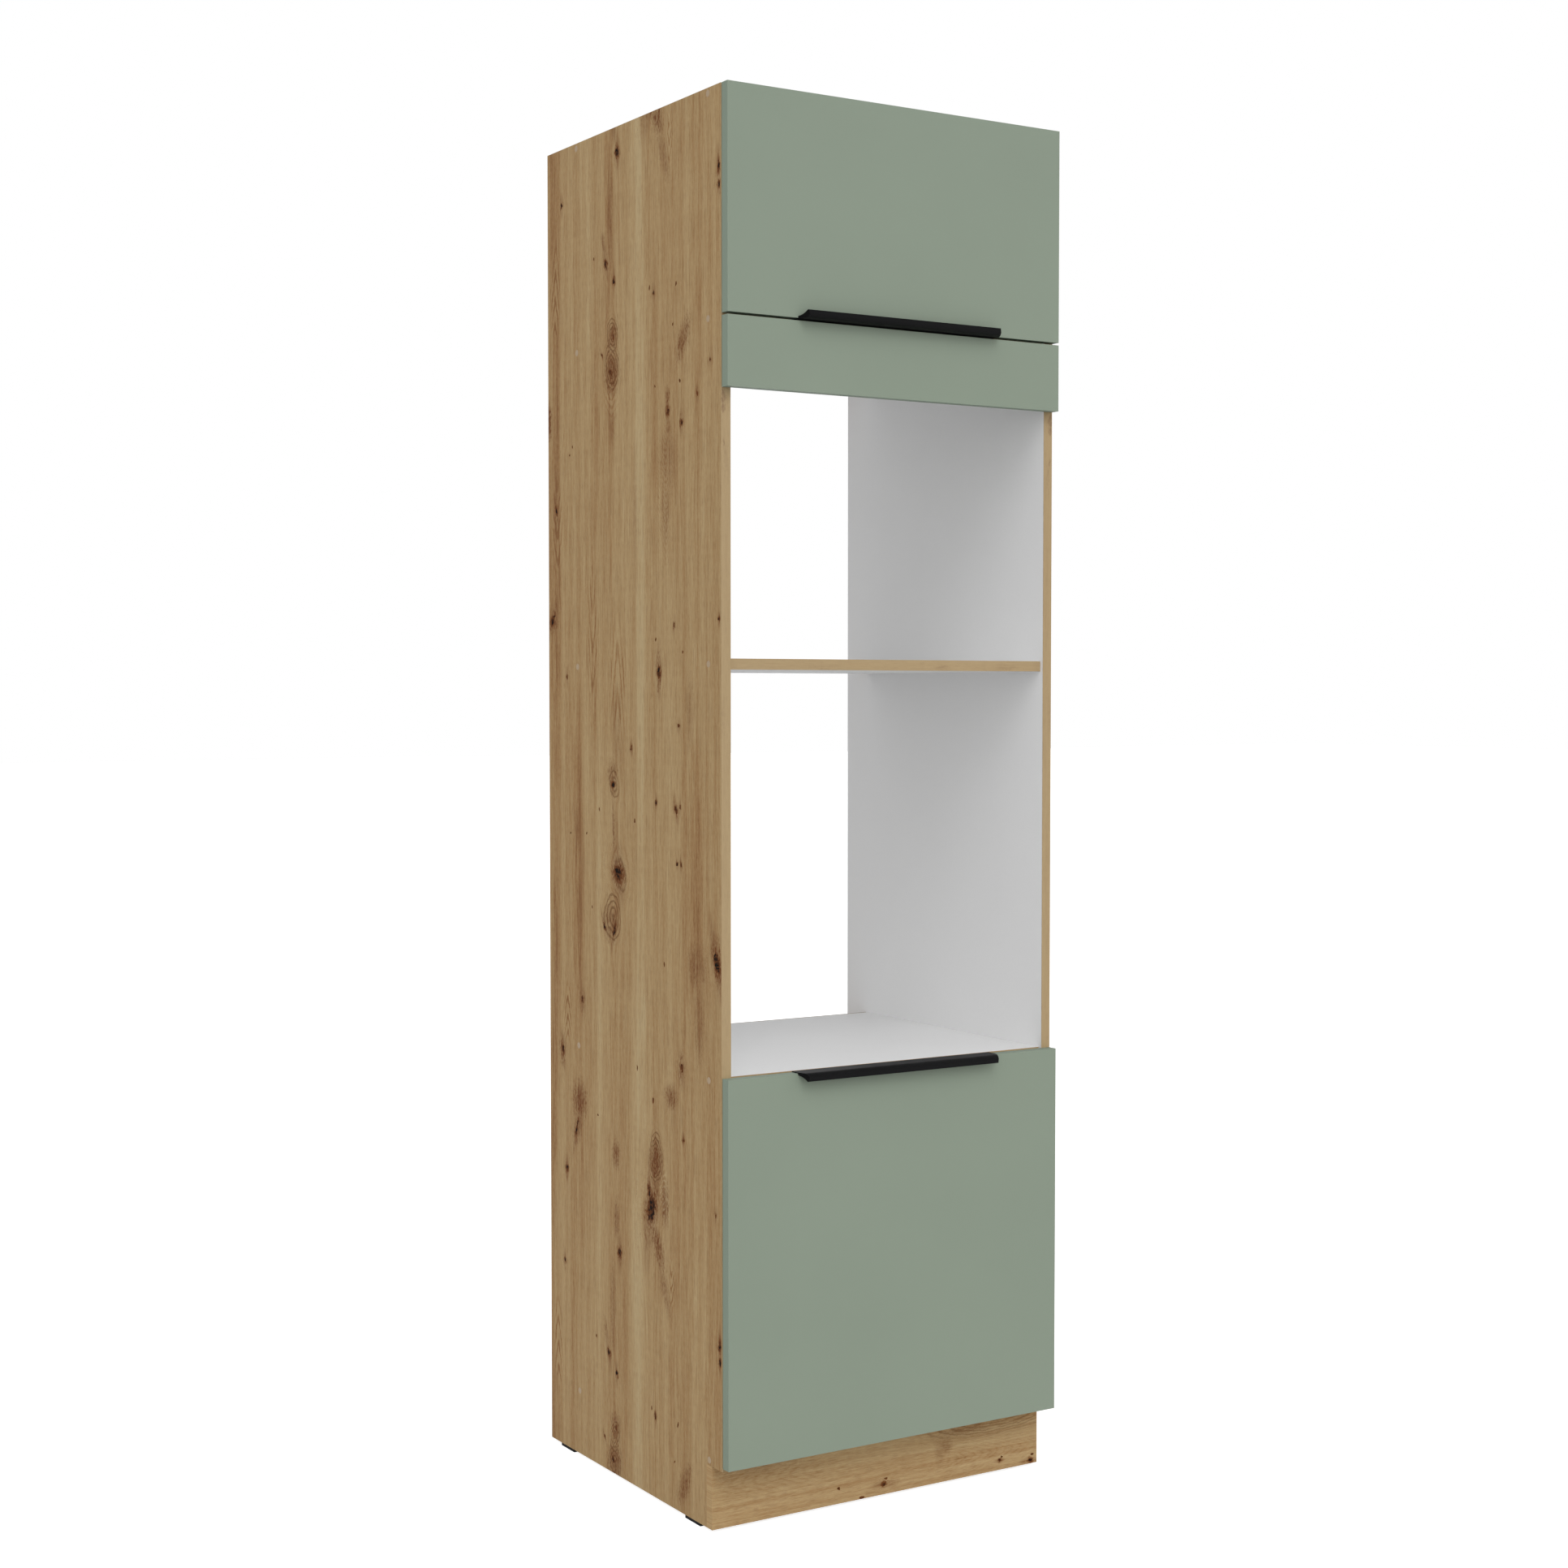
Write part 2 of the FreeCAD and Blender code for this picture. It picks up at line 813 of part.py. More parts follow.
def lift_springs():
    start = lift_pivot[0] + lift_spring_from_pivot
    x = (plate_face + cover_face - lift_cover_wall) / 2
    shapes = []
    for side in (-1, 1):
        z = lift_pivot[1] + side * lift_spring_spacing / 2
        ends = (Vector(x, start, z), Vector(x, start + lift_spring_length, z))
        shapes.append(rod(lift_spring_radius, *ends).cut(rod(lift_spring_bore, *ends)))
    return shapes


def lift_case_screws():
    y_places = [lift_case_y[0] + lift_case_screw_inset, lift_case_y[1] - lift_case_screw_inset]
    z_places = [lift_case_z[0] + lift_case_screw_inset, lift_case_z[1] - lift_case_screw_inset]
    return [(Vector(plate_face, y, z), to_left) for y in y_places for z in z_places]


def lift_arm():
    bar = lever(lift_pivot, arm_tip, lift_arm_half_width, arm_x)
    bore = pin(lift_pivot, lift_shaft_radius + running_clearance, (cover_face, lug_x[1]))
    seat = pin(arm_tip, lift_pin_radius, (cover_face, lug_x[1]))
    return bar.cut([bore, seat])


def headed_pin(point, start, end):
    """Pin along X with a head beyond each end."""
    high = lift_pin_head_height
    profile = [
        (lift_pin_head_radius, -high),
        (lift_pin_head_radius, 0),
        (lift_pin_radius, 0),
        (lift_pin_radius, end - start),
        (lift_pin_head_radius, end - start),
        (lift_pin_head_radius, end - start + high),
    ]
    return turned(profile, Vector(start, *point), to_right)


def lift_link():
    bar = lever(arm_tip, flap_stud, lift_link_half_width, link_x)
    bore = pin(arm_tip, lift_pin_radius + running_clearance, (cover_face, lug_x[1]))
    eye = pin(flap_stud, lift_pin_radius + open_pivot_clearance, (cover_face, lug_x[1]))
    return bar.cut([bore, eye])


def flap_bracket():
    half = flap_bracket_height / 2
    face = front_rear_face + bracket_steel
    plate = box((lug_x[0], lug_x[0] + flap_bracket_width), (front_rear_face, face),
                (flap_stud[1] - half, flap_stud[1] + half))
    foot = (face, flap_stud[1])
    lug = lever(flap_stud, foot, flap_lug_half_width, lug_x)
    trimmed = lug.common(box(lug_x, (front_rear_face, carcass_depth), (0, side_height)))
    whole = plate.fuse(trimmed).removeSplitter()
    return whole.cut(pin(flap_stud, lift_pin_radius, (cover_face, lug_x[1] + overrun)))


def flap_bracket_screws():
    x = lug_x[0] + flap_bracket_width - flap_bracket_screw_inset
    y = front_rear_face + bracket_steel
    return [(Vector(x, y, flap_stud[1] + side * flap_bracket_screw_offset), to_front)
            for side in (-1, 1)]


# Runners: a member on the side panel, a middle member and a member under the pull-out.
# The sections are laid out from the side panel's inner face (u) and the runner's underside (w).
runner_floor = bottom_z + board + runner_floor_gap
roller_axis_w = runner_steel + plate_gap + runner_roller_radius
middle_u = (runner_steel + middle_outer_gap, runner_steel + middle_outer_gap + middle_width)
middle_w = (2 * runner_steel, 2 * runner_steel + middle_height)
member_w = (middle_w[1] + plate_gap, middle_w[1] + plate_gap + runner_steel)
member_u = (middle_u[0] - plate_gap - runner_steel, drawer_member_width)
member_top = runner_floor + member_w[1]
runner_y = (runner_front, runner_front + runner_length)


def strip(u_span, w_span, y_span=runner_y):
    return box((-inner_half + u_span[0], -inner_half + u_span[1]), y_span,
               (runner_floor + w_span[0], runner_floor + w_span[1]))


def cabinet_member():
    web = strip((0, runner_steel), (0, runner_web_height))
    foot = strip((0, runner_foot_width), (0, runner_steel))
    lip = strip((runner_foot_width - runner_steel, runner_foot_width), (0, runner_lip_height))
    return web.fuse([foot, lip]).removeSplitter()


def middle_member():
    top = strip(middle_u, (middle_w[1] - runner_steel, middle_w[1]))
    outer = strip((middle_u[0], middle_u[0] + runner_steel), middle_w)
    inner = strip((middle_u[1] - runner_steel, middle_u[1]), middle_w)
    return top.fuse([outer, inner]).removeSplitter().cut(roller_bores())


def roller_places():
    step = runner_length / 4
    return [runner_front + step / 2 + i * step for i in range(4)]


def roller_axle_radius():
    return runner_roller_radius / 3


def roller_bores():
    w = runner_floor + roller_axis_w
    radius = roller_axle_radius() + press_clearance
    return [
        pin((y, w), radius, (-inner_half + middle_u[0], -inner_half + middle_u[1]))
        for y in roller_places()
    ]


def rollers():
    w = runner_floor + roller_axis_w
    start = -inner_half + middle_u[0]
    wheel_start = runner_steel + plate_gap
    width = middle_width
    radius = roller_axle_radius()
    profile = [
        (radius, 0),
        (radius, wheel_start),
        (runner_roller_radius, wheel_start),
        (runner_roller_radius, width - wheel_start),
        (radius, width - wheel_start),
        (radius, width),
    ]
    return [turned(profile, Vector(start, y, w), to_right) for y in roller_places()]


def drawer_member():
    top = strip(member_u, member_w)
    outer = strip((member_u[0], member_u[0] + runner_steel), (member_w[1] - drawer_member_leg,
                                                              member_w[1]))
    inner_u = middle_u[1] + plate_gap
    inner = strip((inner_u, inner_u + runner_steel), (member_w[1] - drawer_member_inner_leg,
                                                      member_w[1]))
    return top.fuse([outer, inner]).removeSplitter()


def runner_screws():
    x = -inner_half + runner_steel
    z = runner_floor + runner_screw_height
    ends = (runner_y[0] + runner_screw_end_inset, runner_y[1] - runner_screw_end_inset)
    return [(Vector(x, y, z), to_left) for y in (ends[0], sum(ends) / 2, ends[1])]


# Box of the pull-out: two hollow steel sides, a base, a back, brackets and gallery rails
drawer_bracket_face = front_rear_face + bracket_steel
drawer_y = (drawer_bracket_face, shelf_rear - drawer_rear_gap)
drawer_outer = -inner_half + drawer_side_gap
drawer_inner = drawer_outer + drawer_side_thickness
drawer_z = (member_top, member_top + drawer_side_height)
drawer_floor = member_top + board
rail_z = drawer_z[1] + rail_height_above_side
rail_x = (drawer_outer + drawer_inner) / 2
post_y = (drawer_y[1] - rail_post_steel, drawer_y[1])


def drawer_side():
    outer = box((drawer_outer, drawer_inner), drawer_y, drawer_z)
    wall = drawer_side_wall
    hollow = box((drawer_outer + wall, drawer_inner - wall),
                 (drawer_y[0] - overrun, drawer_y[1] + overrun),
                 (drawer_z[0] + wall, drawer_z[1] - wall))
    return outer.cut(hollow)


def drawer_base():
    return box((drawer_inner, -drawer_inner), (front_rear_face, drawer_y[1]),
               (member_top, drawer_floor))


def drawer_back():
    return box((drawer_inner, -drawer_inner), (drawer_y[1] - board, drawer_y[1]),
               (drawer_floor, drawer_z[1]))


drawer_bracket_z = (drawer_floor + drawer_bracket_margin, drawer_z[1] - drawer_bracket_margin)
back_face = drawer_y[1] - board


def front_bracket():
    corner = angle(drawer_inner, 1, front_rear_face, 1, drawer_bracket_reach,
                   drawer_bracket_reach, drawer_bracket_z)
    end_plate = box((drawer_outer, drawer_inner), (front_rear_face, drawer_bracket_face),
                    drawer_bracket_z)
    return corner.fuse(end_plate).removeSplitter()


def back_bracket():
    return angle(drawer_inner, 1, back_face, -1, drawer_bracket_reach, drawer_bracket_reach,
                 drawer_bracket_z)


def drawer_bracket_screws():
    x = drawer_inner + (drawer_bracket_reach + bracket_steel) / 2
    heights = (drawer_bracket_z[0] + drawer_bracket_screw_inset,
               drawer_bracket_z[1] - drawer_bracket_screw_inset)
    front_ones = [(Vector(x, drawer_bracket_face, z), to_front) for z in heights]
    rear_ones = [(Vector(x, back_face - bracket_steel, z), to_rear) for z in heights]
    return front_ones + rear_ones


def base_screws():
    inner_leg_end = middle_u[1] + plate_gap + runner_steel
    x = -inner_half + (inner_leg_end + drawer_member_width) / 2
    z = runner_floor + member_w[0]
    ends = (runner_y[0] + base_screw_inset, runner_y[1] - base_screw_inset)
    return [(Vector(x, y, z), upward) for y in (ends[0], sum(ends) / 2, ends[1])]


def gallery_rail():
    return rod(rail_radius, Vector(rail_x, front_rear_face + rail_holder_length / 2, rail_z),
               Vector(rail_x, post_y[0], rail_z))


def rail_holder():
    start = Vector(rail_x, front_rear_face, rail_z)
    body = rod(rail_holder_radius, start, start + to_rear * rail_holder_length)
    seat = start + to_rear * (rail_holder_length / 2 - press_clearance)
    return body.cut(rod(rail_radius + press_clearance, seat, seat + to_rear * rail_holder_length))


def rail_post():
    return box((drawer_outer, drawer_inner), post_y,
               (drawer_z[1], rail_z + rail_radius + rail_post_margin))


# The carcass
carcass_screw_places = (
    wall_bracket_screws() + fascia_bracket_screws() + plinth_block_screws()
    + hinge_plate_screws() + lift_case_screws() + runner_screws()
)
carcass_holes = (
    [connector_hole(place) for place in connector_places()]
    + [dowel_hole(place) for place in dowel_places()]
    + [screw_hole(*place) for place in carcass_screw_places]
    + [glide_nail_hole(place) for start in glide_starts for place in glide_nail_places(start)]
)
both_holes = pair(carcass_holes)
upper_nails = nail_rows((upper_shelf_z, top_z))
lower_nails = nail_rows((bottom_z, oven_shelf_z))
nail_holes = [nail_hole(place) for place in upper_nails + lower_nails]


def side_panel():
    panel = box((-half_width, -inner_half), (edge_band, carcass_depth), (0, side_height))
    notch = box((-half_width - overrun, -inner_half + overrun), (-overrun, plinth_rear),
                (-overrun, plinth_height))
    return panel.cut(notch)


def horizontal_panel(level):
    return box((-inner_half, inner_half), (shelf_setback + edge_band, shelf_rear),
               (level, level + board))


def shelf_band(level):
    return box((-inner_half, inner_half), (shelf_setback, shelf_setback + edge_band),
               (level, level + board))


def back(z_span):
    half = inner_half - back_side_gap
    return box((-half, half), (shelf_rear, shelf_rear + hardboard), z_span)


left_side = side_panel()
save("left_side_panel", [drilled(left_side, both_holes)])
save("right_side_panel", [drilled(mirrored(left_side), both_holes)])
save("side_edge_bands", pair([box((-half_width, -inner_half), (0, edge_band),
                                  (plinth_height, side_height))]))
for name, level in zip(
    ("bottom_panel", "oven_shelf", "middle_shelf", "upper_shelf", "top_panel"), panel_levels
):
    save(name, [drilled(horizontal_panel(level), both_holes + nail_holes)])
save("shelf_edge_bands", [shelf_band(level) for level in panel_levels])
save("plinth_board", [drilled(box((-half_width, half_width), (plinth_recess, plinth_rear),
                                  (0, plinth_height)), both_holes)])
save("plinth_blocks", [drilled(block, both_holes) for block in pair([plinth_block()])])
save("upper_back", [drilled(back((upper_shelf_z, side_height)), nail_holes)])
save("lower_back", [drilled(back((bottom_z, oven_shelf_z + board)), nail_holes)])
save("back_nails", [nail(place) for place in upper_nails + lower_nails])
save("panel_connectors", pair([connector(place) for place in connector_places()]))
save("cover_caps", pair([cap(place) for place in connector_places()]))
save("dowels", pair([dowel(place) for place in dowel_places()]))
save("glides", [drilled(shape, both_holes)
                for shape in pair([glide(start) for start in glide_starts])])
save("glide_nails", pair([glide_nail(place) for start in glide_starts
                          for place in glide_nail_places(start)]))
save("wall_brackets", [drilled(shape, both_holes) for shape in pair([wall_bracket()])])
save("carcass_screws", pair([screw(*place) for place in carcass_screw_places]))
save("bumpers", pair([bumper(level) for level in bumper_levels]))

# The fascia
fascia = box((-front_half, front_half), (front_face, front_rear_face), (fascia_bottom, fascia_top))
save("fascia_panel", [drilled(fascia, both_holes)])
save("fascia_brackets", [drilled(shape, both_holes) for shape in pair([fascia_bracket()])])

# The flap's fittings on the carcass
save("hinge_plates", [drilled(shape, both_holes) for shape in pair([at_hinge(hinge_plate())])])
save("hinge_arms", pair([at_hinge(hinge_arm()),
                         at_hinge(hinge_pin(arm_pin, cheek_outer))]))
save("lift_base_plates", [drilled(shape, both_holes) for shape in pair([lift_base_plate()])])
save("lift_covers", pair([lift_cover()]))
save("lift_springs", pair(lift_springs()))
save("lift_shafts", pair([lift_shaft()]))

# The flap
flap_screw_places = handle_screws(flap_bottom, -1)
flap_side_screw_places = cup_screws() + flap_bracket_screws()
flap_holes = (
    [screw_hole(*place) for place in flap_screw_places]
    + pair([screw_hole(*place) for place in flap_side_screw_places])
)
flap = box((-front_half, front_half), (front_face, front_rear_face), (flap_bottom, flap_top))
save("flap_panel", [drilled(flap, flap_holes + pair([at_hinge(cup_bore())]))])
save("flap_handle", [drilled(handle(flap_bottom, -1), flap_holes)])
save("flap_screws", [screw(*place) for place in flap_screw_places]
     + pair([screw(*place) for place in flap_side_screw_places]))
save("hinge_cups", [drilled(shape, flap_holes) for shape in pair([at_hinge(hinge_cup())])]
     + pair([at_hinge(hinge_pin(cup_pin, link_outer + plate_gap + cup_ear_steel))]))
save("flap_brackets", [drilled(shape, flap_holes) for shape in pair([flap_bracket()])]
     + pair([headed_pin(flap_stud, link_x[0] - plate_gap, lug_x[1])]))

# The links between the carcass and the flap
save("hinge_cranks", pair([at_hinge(hinge_crank()), at_hinge(hinge_pin(knee_pin, link_outer))]))
save("hinge_links", pair([at_hinge(plate) for plate in hinge_links()]))
save("lift_arms", pair([lift_arm(), headed_pin(arm_tip, arm_x[0], link_x[1] + plate_gap)]))
save("lift_links", pair([lift_link()]))

# The runners
save("cabinet_runners", [drilled(shape, both_holes) for shape in pair([cabinet_member()])])
save("middle_runners", pair([middle_member()]))
save("runner_rollers", pair(rollers()))

# The pull-out
pullout_screw_places = handle_screws(pullout_front_top, 1)
pullout_side_screw_places = drawer_bracket_screws() + base_screws()
pullout_holes = (
    [screw_hole(*place) for place in pullout_screw_places]
    + pair([screw_hole(*place) for place in pullout_side_screw_places])
)
front = box((-front_half, front_half), (front_face, front_rear_face),
            (pullout_front_bottom, pullout_front_top))
save("pullout_front", [drilled(front, pullout_holes)])
save("pullout_handle", [drilled(handle(pullout_front_top, 1), pullout_holes)])
save("pullout_screws", [screw(*place) for place in pullout_screw_places]
     + pair([screw(*place) for place in pullout_side_screw_places]))
save("left_drawer_side", [drawer_side()])
save("right_drawer_side", [mirrored(drawer_side())])
save("drawer_base", [drilled(drawer_base(), pullout_holes)])
save("drawer_back", [drilled(drawer_back(), pullout_holes)])
save("drawer_brackets", [drilled(shape, pullout_holes)
                         for shape in pair([front_bracket(), back_bracket()])])
save("drawer_runners", [drilled(shape, pullout_holes) for shape in pair([drawer_member()])])
save("gallery_rails", pair([gallery_rail()]))
save("rail_holders", pair([rail_holder()]))
save("rail_posts", pair([rail_post()]))
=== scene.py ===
import math

import bmesh
import bpy
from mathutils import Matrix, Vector


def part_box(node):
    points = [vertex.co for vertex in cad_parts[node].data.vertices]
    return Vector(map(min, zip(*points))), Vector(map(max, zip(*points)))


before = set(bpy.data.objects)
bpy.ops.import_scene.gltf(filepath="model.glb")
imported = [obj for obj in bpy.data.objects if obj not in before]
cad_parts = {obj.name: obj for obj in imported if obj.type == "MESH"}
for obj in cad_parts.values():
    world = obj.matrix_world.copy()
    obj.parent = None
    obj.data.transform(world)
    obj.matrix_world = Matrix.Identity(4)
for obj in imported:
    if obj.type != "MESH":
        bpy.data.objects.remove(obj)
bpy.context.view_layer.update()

# Colours


def paint(red, green, blue):
    """A colour given as it shows on a screen, 0 to 255, as the shader's linear colour."""
    def linear(c):
        c /= 255
        return c / 12.92 if c <= 0.04045 else ((c + 0.055) / 1.055) ** 2.4
    return (linear(red), linear(green), linear(blue), 1.0)


OAK_PALE = paint(191, 168, 128)
OAK_LIGHT = paint(184, 157, 116)
OAK_MID = paint(175, 146, 105)
OAK_WARM = paint(163, 129, 89)
OAK_BROWN = paint(139, 101, 65)
OAK_LINE = paint(118, 84, 54)
EDGING_WASH = paint(193, 173, 139)
KNOT_BROWN = paint(114, 70, 39)
KNOT_RIM = paint(90, 54, 30)
KNOT_BLACK = paint(22, 14, 9)
OAK_TONES = ((0.0, OAK_BROWN), (0.25, OAK_WARM), (0.5, OAK_MID), (0.75, OAK_LIGHT), (1.0, OAK_PALE))
SAGE = paint(145, 157, 141)
# painted shade: the fronts' edges get a darker, cooler sage than their faces
SAGE_SHADED_EDGE = paint(134, 147, 132)
WHITE = paint(235, 235, 235)

# Depths of relief, in metres
BOARD_RELIEF = 0.00012
EDGING_RELIEF = 0.0001
FIBRE_RELIEF = 0.00015
WOOD_RELIEF = 0.0002
FINE_RELIEF = 0.00003
PEEL_RELIEF = 0.00006
DRAWN_RELIEF = 0.000008

# How much the faces mirror: 0.5 is plain varnish
OAK_GLOSS = 0.025
SAGE_GLOSS = 0.15
HANDLE_GLOSS = 0.07

# Node helper


class Tree:
    """Nodes of a material, a group or the world, added by short calls.

    A value is a number, a tuple or a node's socket.
    """

    def __init__(self, tree):
        self.tree, self.nodes, self.links = tree, tree.nodes, tree.links
        self.nodes.clear()

    def feed(self, socket, value):
        if isinstance(value, bpy.types.NodeSocket):
            self.links.new(value, socket)
        else:
            socket.default_value = value

    def math(self, operation, *values):
        n = self.nodes.new("ShaderNodeMath")
        n.operation = operation
        for socket, value in zip(n.inputs, values):
            self.feed(socket, value)
        return n.outputs[0]

    def vector(self, operation, *values):
        n = self.nodes.new("ShaderNodeVectorMath")
        n.operation = operation
        for socket, value in zip(n.inputs, values):
            self.feed(socket, value)
        return n.outputs["Value" if operation in ("LENGTH", "DOT_PRODUCT") else "Vector"]

    def split(self, vector):
        n = self.nodes.new("ShaderNodeSeparateXYZ")
        self.feed(n.inputs[0], vector)
        return n.outputs

    def join(self, x, y, z=0.0):
        n = self.nodes.new("ShaderNodeCombineXYZ")
        for socket, value in zip(n.inputs, (x, y, z)):
            self.feed(socket, value)
        return n.outputs[0]

    def noise(self, place, scale, detail=2.0, roughness=0.5, output="Fac"):
        """Noise at a scale per metre, which is a number or one for each axis."""
        if isinstance(scale, tuple):
            place, scale = self.vector("MULTIPLY", place, scale), 1.0
        n = self.nodes.new("ShaderNodeTexNoise")
        self.feed(n.inputs["Vector"], place)
        n.inputs["Scale"].default_value = scale
        n.inputs["Detail"].default_value = detail
        n.inputs["Roughness"].default_value = roughness
        return n.outputs[output]

    def cells(self, place, scale, output="Distance"):
        """Cells at a scale per metre."""
        n = self.nodes.new("ShaderNodeTexVoronoi")
        self.feed(n.inputs["Vector"], place)
        n.inputs["Scale"].default_value = scale
        return n.outputs[output]

    def fit(self, value, low, high, to_low=0.0, to_high=1.0):
        """A smooth step of value from low to high."""
        n = self.nodes.new("ShaderNodeMapRange")
        n.interpolation_type, n.clamp = "SMOOTHSTEP", False
        for socket, v in zip(n.inputs, (value, low, high, to_low, to_high)):
            self.feed(socket, v)
        return n.outputs[0]

    def ramp(self, value, *stops):
        n = self.nodes.new("ShaderNodeValToRGB")
        self.feed(n.inputs[0], value)
        bar = n.color_ramp.elements
        bar.remove(bar[1])
        bar[0].position, bar[0].color = stops[0]
        for position, colour in stops[1:]:
            bar.new(position).color = colour
        return n.outputs[0]

    def blend(self, share, a, b):
        """The colour or number a where share is 0, and b where it is 1."""
        n = self.nodes.new("ShaderNodeMix")
        n.data_type = "RGBA"
        self.feed(n.inputs[0], share)
        self.feed(n.inputs[6], a)
        self.feed(n.inputs[7], b)
        return n.outputs[2]

    def scaled(self, colour, light):
        """The colour with its brightness multiplied by light."""
        n = self.nodes.new("ShaderNodeVectorMath")
        n.operation = "SCALE"
        self.feed(n.inputs[0], colour)
        self.feed(n.inputs["Scale"], light)
        return n.outputs[0]

    def use(self, group, **values):
        """Adds a node group with these values on its inputs and returns its outputs."""
        n = self.nodes.new("ShaderNodeGroup")
        n.node_tree = group
        for name, value in values.items():
            self.feed(n.inputs[name], value)
        return n.outputs


class Finish(Tree):
    """A material with one shader."""

    def __init__(self, name):
        self.material = bpy.data.materials.new(name)
        self.material.use_nodes = True
        super().__init__(self.material.node_tree)
        place = self.nodes.new("ShaderNodeTexCoord")
        self.place, self.facing = place.outputs["Object"], place.outputs["Normal"]
        self.shader = self.nodes.new("ShaderNodeBsdfPrincipled")
        self.end = self.nodes.new("ShaderNodeOutputMaterial")
        self.links.new(self.shader.outputs[0], self.end.inputs["Surface"])

    def bump(self, height, depth):
        """Relief: height runs from 0 to 1 and depth is in metres."""
        n = self.nodes.new("ShaderNodeBump")
        n.inputs["Strength"].default_value = 1.0
        n.inputs["Distance"].default_value = depth
        self.feed(n.inputs["Height"], height)
        self.links.new(n.outputs[0], self.shader.inputs["Normal"])

    def second_face(self, share):
        """Starts a second shader, which shows where share is 1. The first keeps the rest."""
        first = self.shader
        self.shader = self.nodes.new("ShaderNodeBsdfPrincipled")
        both = self.nodes.new("ShaderNodeMixShader")
        self.feed(both.inputs[0], share)
        self.links.new(first.outputs[0], both.inputs[1])
        self.links.new(self.shader.outputs[0], both.inputs[2])
        self.links.new(both.outputs[0], self.end.inputs["Surface"])

    def done(self, colour, roughness, **settings):
        self.feed(self.shader.inputs["Base Color"], colour)
        self.feed(self.shader.inputs["Roughness"], roughness)
        for name, value in settings.items():
            self.shader.inputs[name.replace("_", " ")].default_value = value
        return self.material


class Group(Tree):
    """A node group. Its inputs and outputs are names with FLOAT, VECTOR or COLOR."""

    KINDS = {"FLOAT": "NodeSocketFloat", "VECTOR": "NodeSocketVector", "COLOR": "NodeSocketColor"}

    def __init__(self, name, inputs, outputs):
        super().__init__(bpy.data.node_groups.new(name, "ShaderNodeTree"))
        for way, sockets in (("INPUT", inputs), ("OUTPUT", outputs)):
            for socket, kind in sockets.items():
                self.tree.interface.new_socket(socket, in_out=way, socket_type=self.KINDS[kind])
        self.given = self.nodes.new("NodeGroupInput").outputs

    def done(self, *values):
        end = self.nodes.new("NodeGroupOutput")
        for socket, value in zip(end.inputs, values):
            self.feed(socket, value)
        return self.tree


# Oak decor

DECOR_REPEAT = 1.705    # the print repeats along the grain after this length
RIGHT_PRINT_SHIFT = 0.64    # how much further up the right side's print starts
SHELF_PRINT_STEP = 0.0971   # from one shelf's edge to the next one's strip of the print
PLINTH_FINENESS = 2.8   # how much finer the plinth's grain is than the sides'
PLINTH_PALER = 1.13     # and how much paler its colours are
STRIP_CONTRAST = 0.55   # the edging strips are plainer than the boards
STRIP_WASH = 0.45       # and washed with EDGING_WASH by this share

# The marks of the side's print. Back and up are from its front edge and its lower end in centimetres, and
# half sizes are in millimetres. One more value at a row's end leans the mark: how far it moves back for each
# unit up.
EYES = (                # dark knots: back, up, half width, half height, darkness
    (31.5, 206, 6, 8, 1.0), (50.5, 201, 4, 5, 0.9), (0.5, 198.3, 4, 9, 0.9), (0.4, 195.9, 4, 6, 1.0),
    (39.4, 191, 2, 3, 0.7), (35.3, 189.5, 5, 7, 1.0, 0.3), (32.6, 186.6, 4, 6, 0.9), (21.2, 184, 2, 4, 0.9),
    (20, 183, 3, 4, 0.9), (13, 183.4, 2, 4, 0.9), (14, 177.6, 2, 2, 0.8), (32.8, 178, 4, 6, 0.6),
    (33.8, 172.5, 5, 7, 0.9, 0.4), (36.7, 175.6, 3, 5, 0.5, 0.5), (3, 171, 3, 4, 0.5),
    (19.5, 169, 2, 3, 0.8), (12, 169, 2, 3, 0.8), (6.7, 166.6, 3, 4, 0.6), (15.6, 165, 5, 5, 1.0),
    (11.5, 163, 4, 6, 1.0), (47, 162.3, 2, 3, 0.8), (48, 161, 2, 2, 0.7), (52.7, 152.4, 4, 7, 1.0, 0.3),
    (54.1, 134.8, 7, 11, 1.0, -0.5), (0.5, 133.7, 3, 4, 0.9), (13.7, 133, 3, 5, 0.5),
    (19.4, 131, 2, 3, 1.0), (11.2, 129, 2, 3, 0.8), (18.5, 126, 6, 12, 1.0), (49, 125.6, 3, 5, 0.8),
    (12.5, 118, 4, 4, 0.6), (27.3, 114.6, 3, 4, 0.8), (33.3, 108.8, 7, 6, 1.0), (19.5, 106.4, 3, 4, 0.9),
    (13.3, 105.5, 5, 7, 0.9, 0.2), (12, 106, 3, 4, 0.7), (38, 104.7, 2, 3, 0.7), (26.3, 103.4, 2, 4, 0.8),
    (48, 100.4, 2, 2, 1.0), (42.3, 100.7, 2, 2, 1.0), (13, 97.5, 3, 3, 0.8), (11.8, 97.5, 3, 4, 0.7),
    (31.6, 95, 15, 14, 1.0, 0.1), (40.5, 89, 2, 3, 0.9), (36.3, 86.4, 4, 7, 0.8, 0.5),
    (33, 86, 5, 11, 0.9, -0.3), (1.2, 83.6, 10, 18, 1.0, 0.3), (17, 82, 2, 3, 1.0), (44, 74, 5, 5, 0.8),
    (11.7, 67, 5, 8, 1.0, 0.2), (51, 65, 5, 10, 1.0, 0.2), (25.7, 65.5, 2, 4, 1.0), (20.5, 61, 2, 5, 0.6),
    (11.3, 56.3, 3, 3, 1.0), (38.7, 56, 2, 2, 0.9), (46, 53, 3, 15, 1.0, -0.35), (49.7, 45.8, 5, 7, 1.0),
    (1.6, 46.8, 3, 4, 0.6), (21.2, 44.3, 14, 25, 1.0, -0.2), (21.8, 46.8, 4, 14, 1.0, 0.05),
)
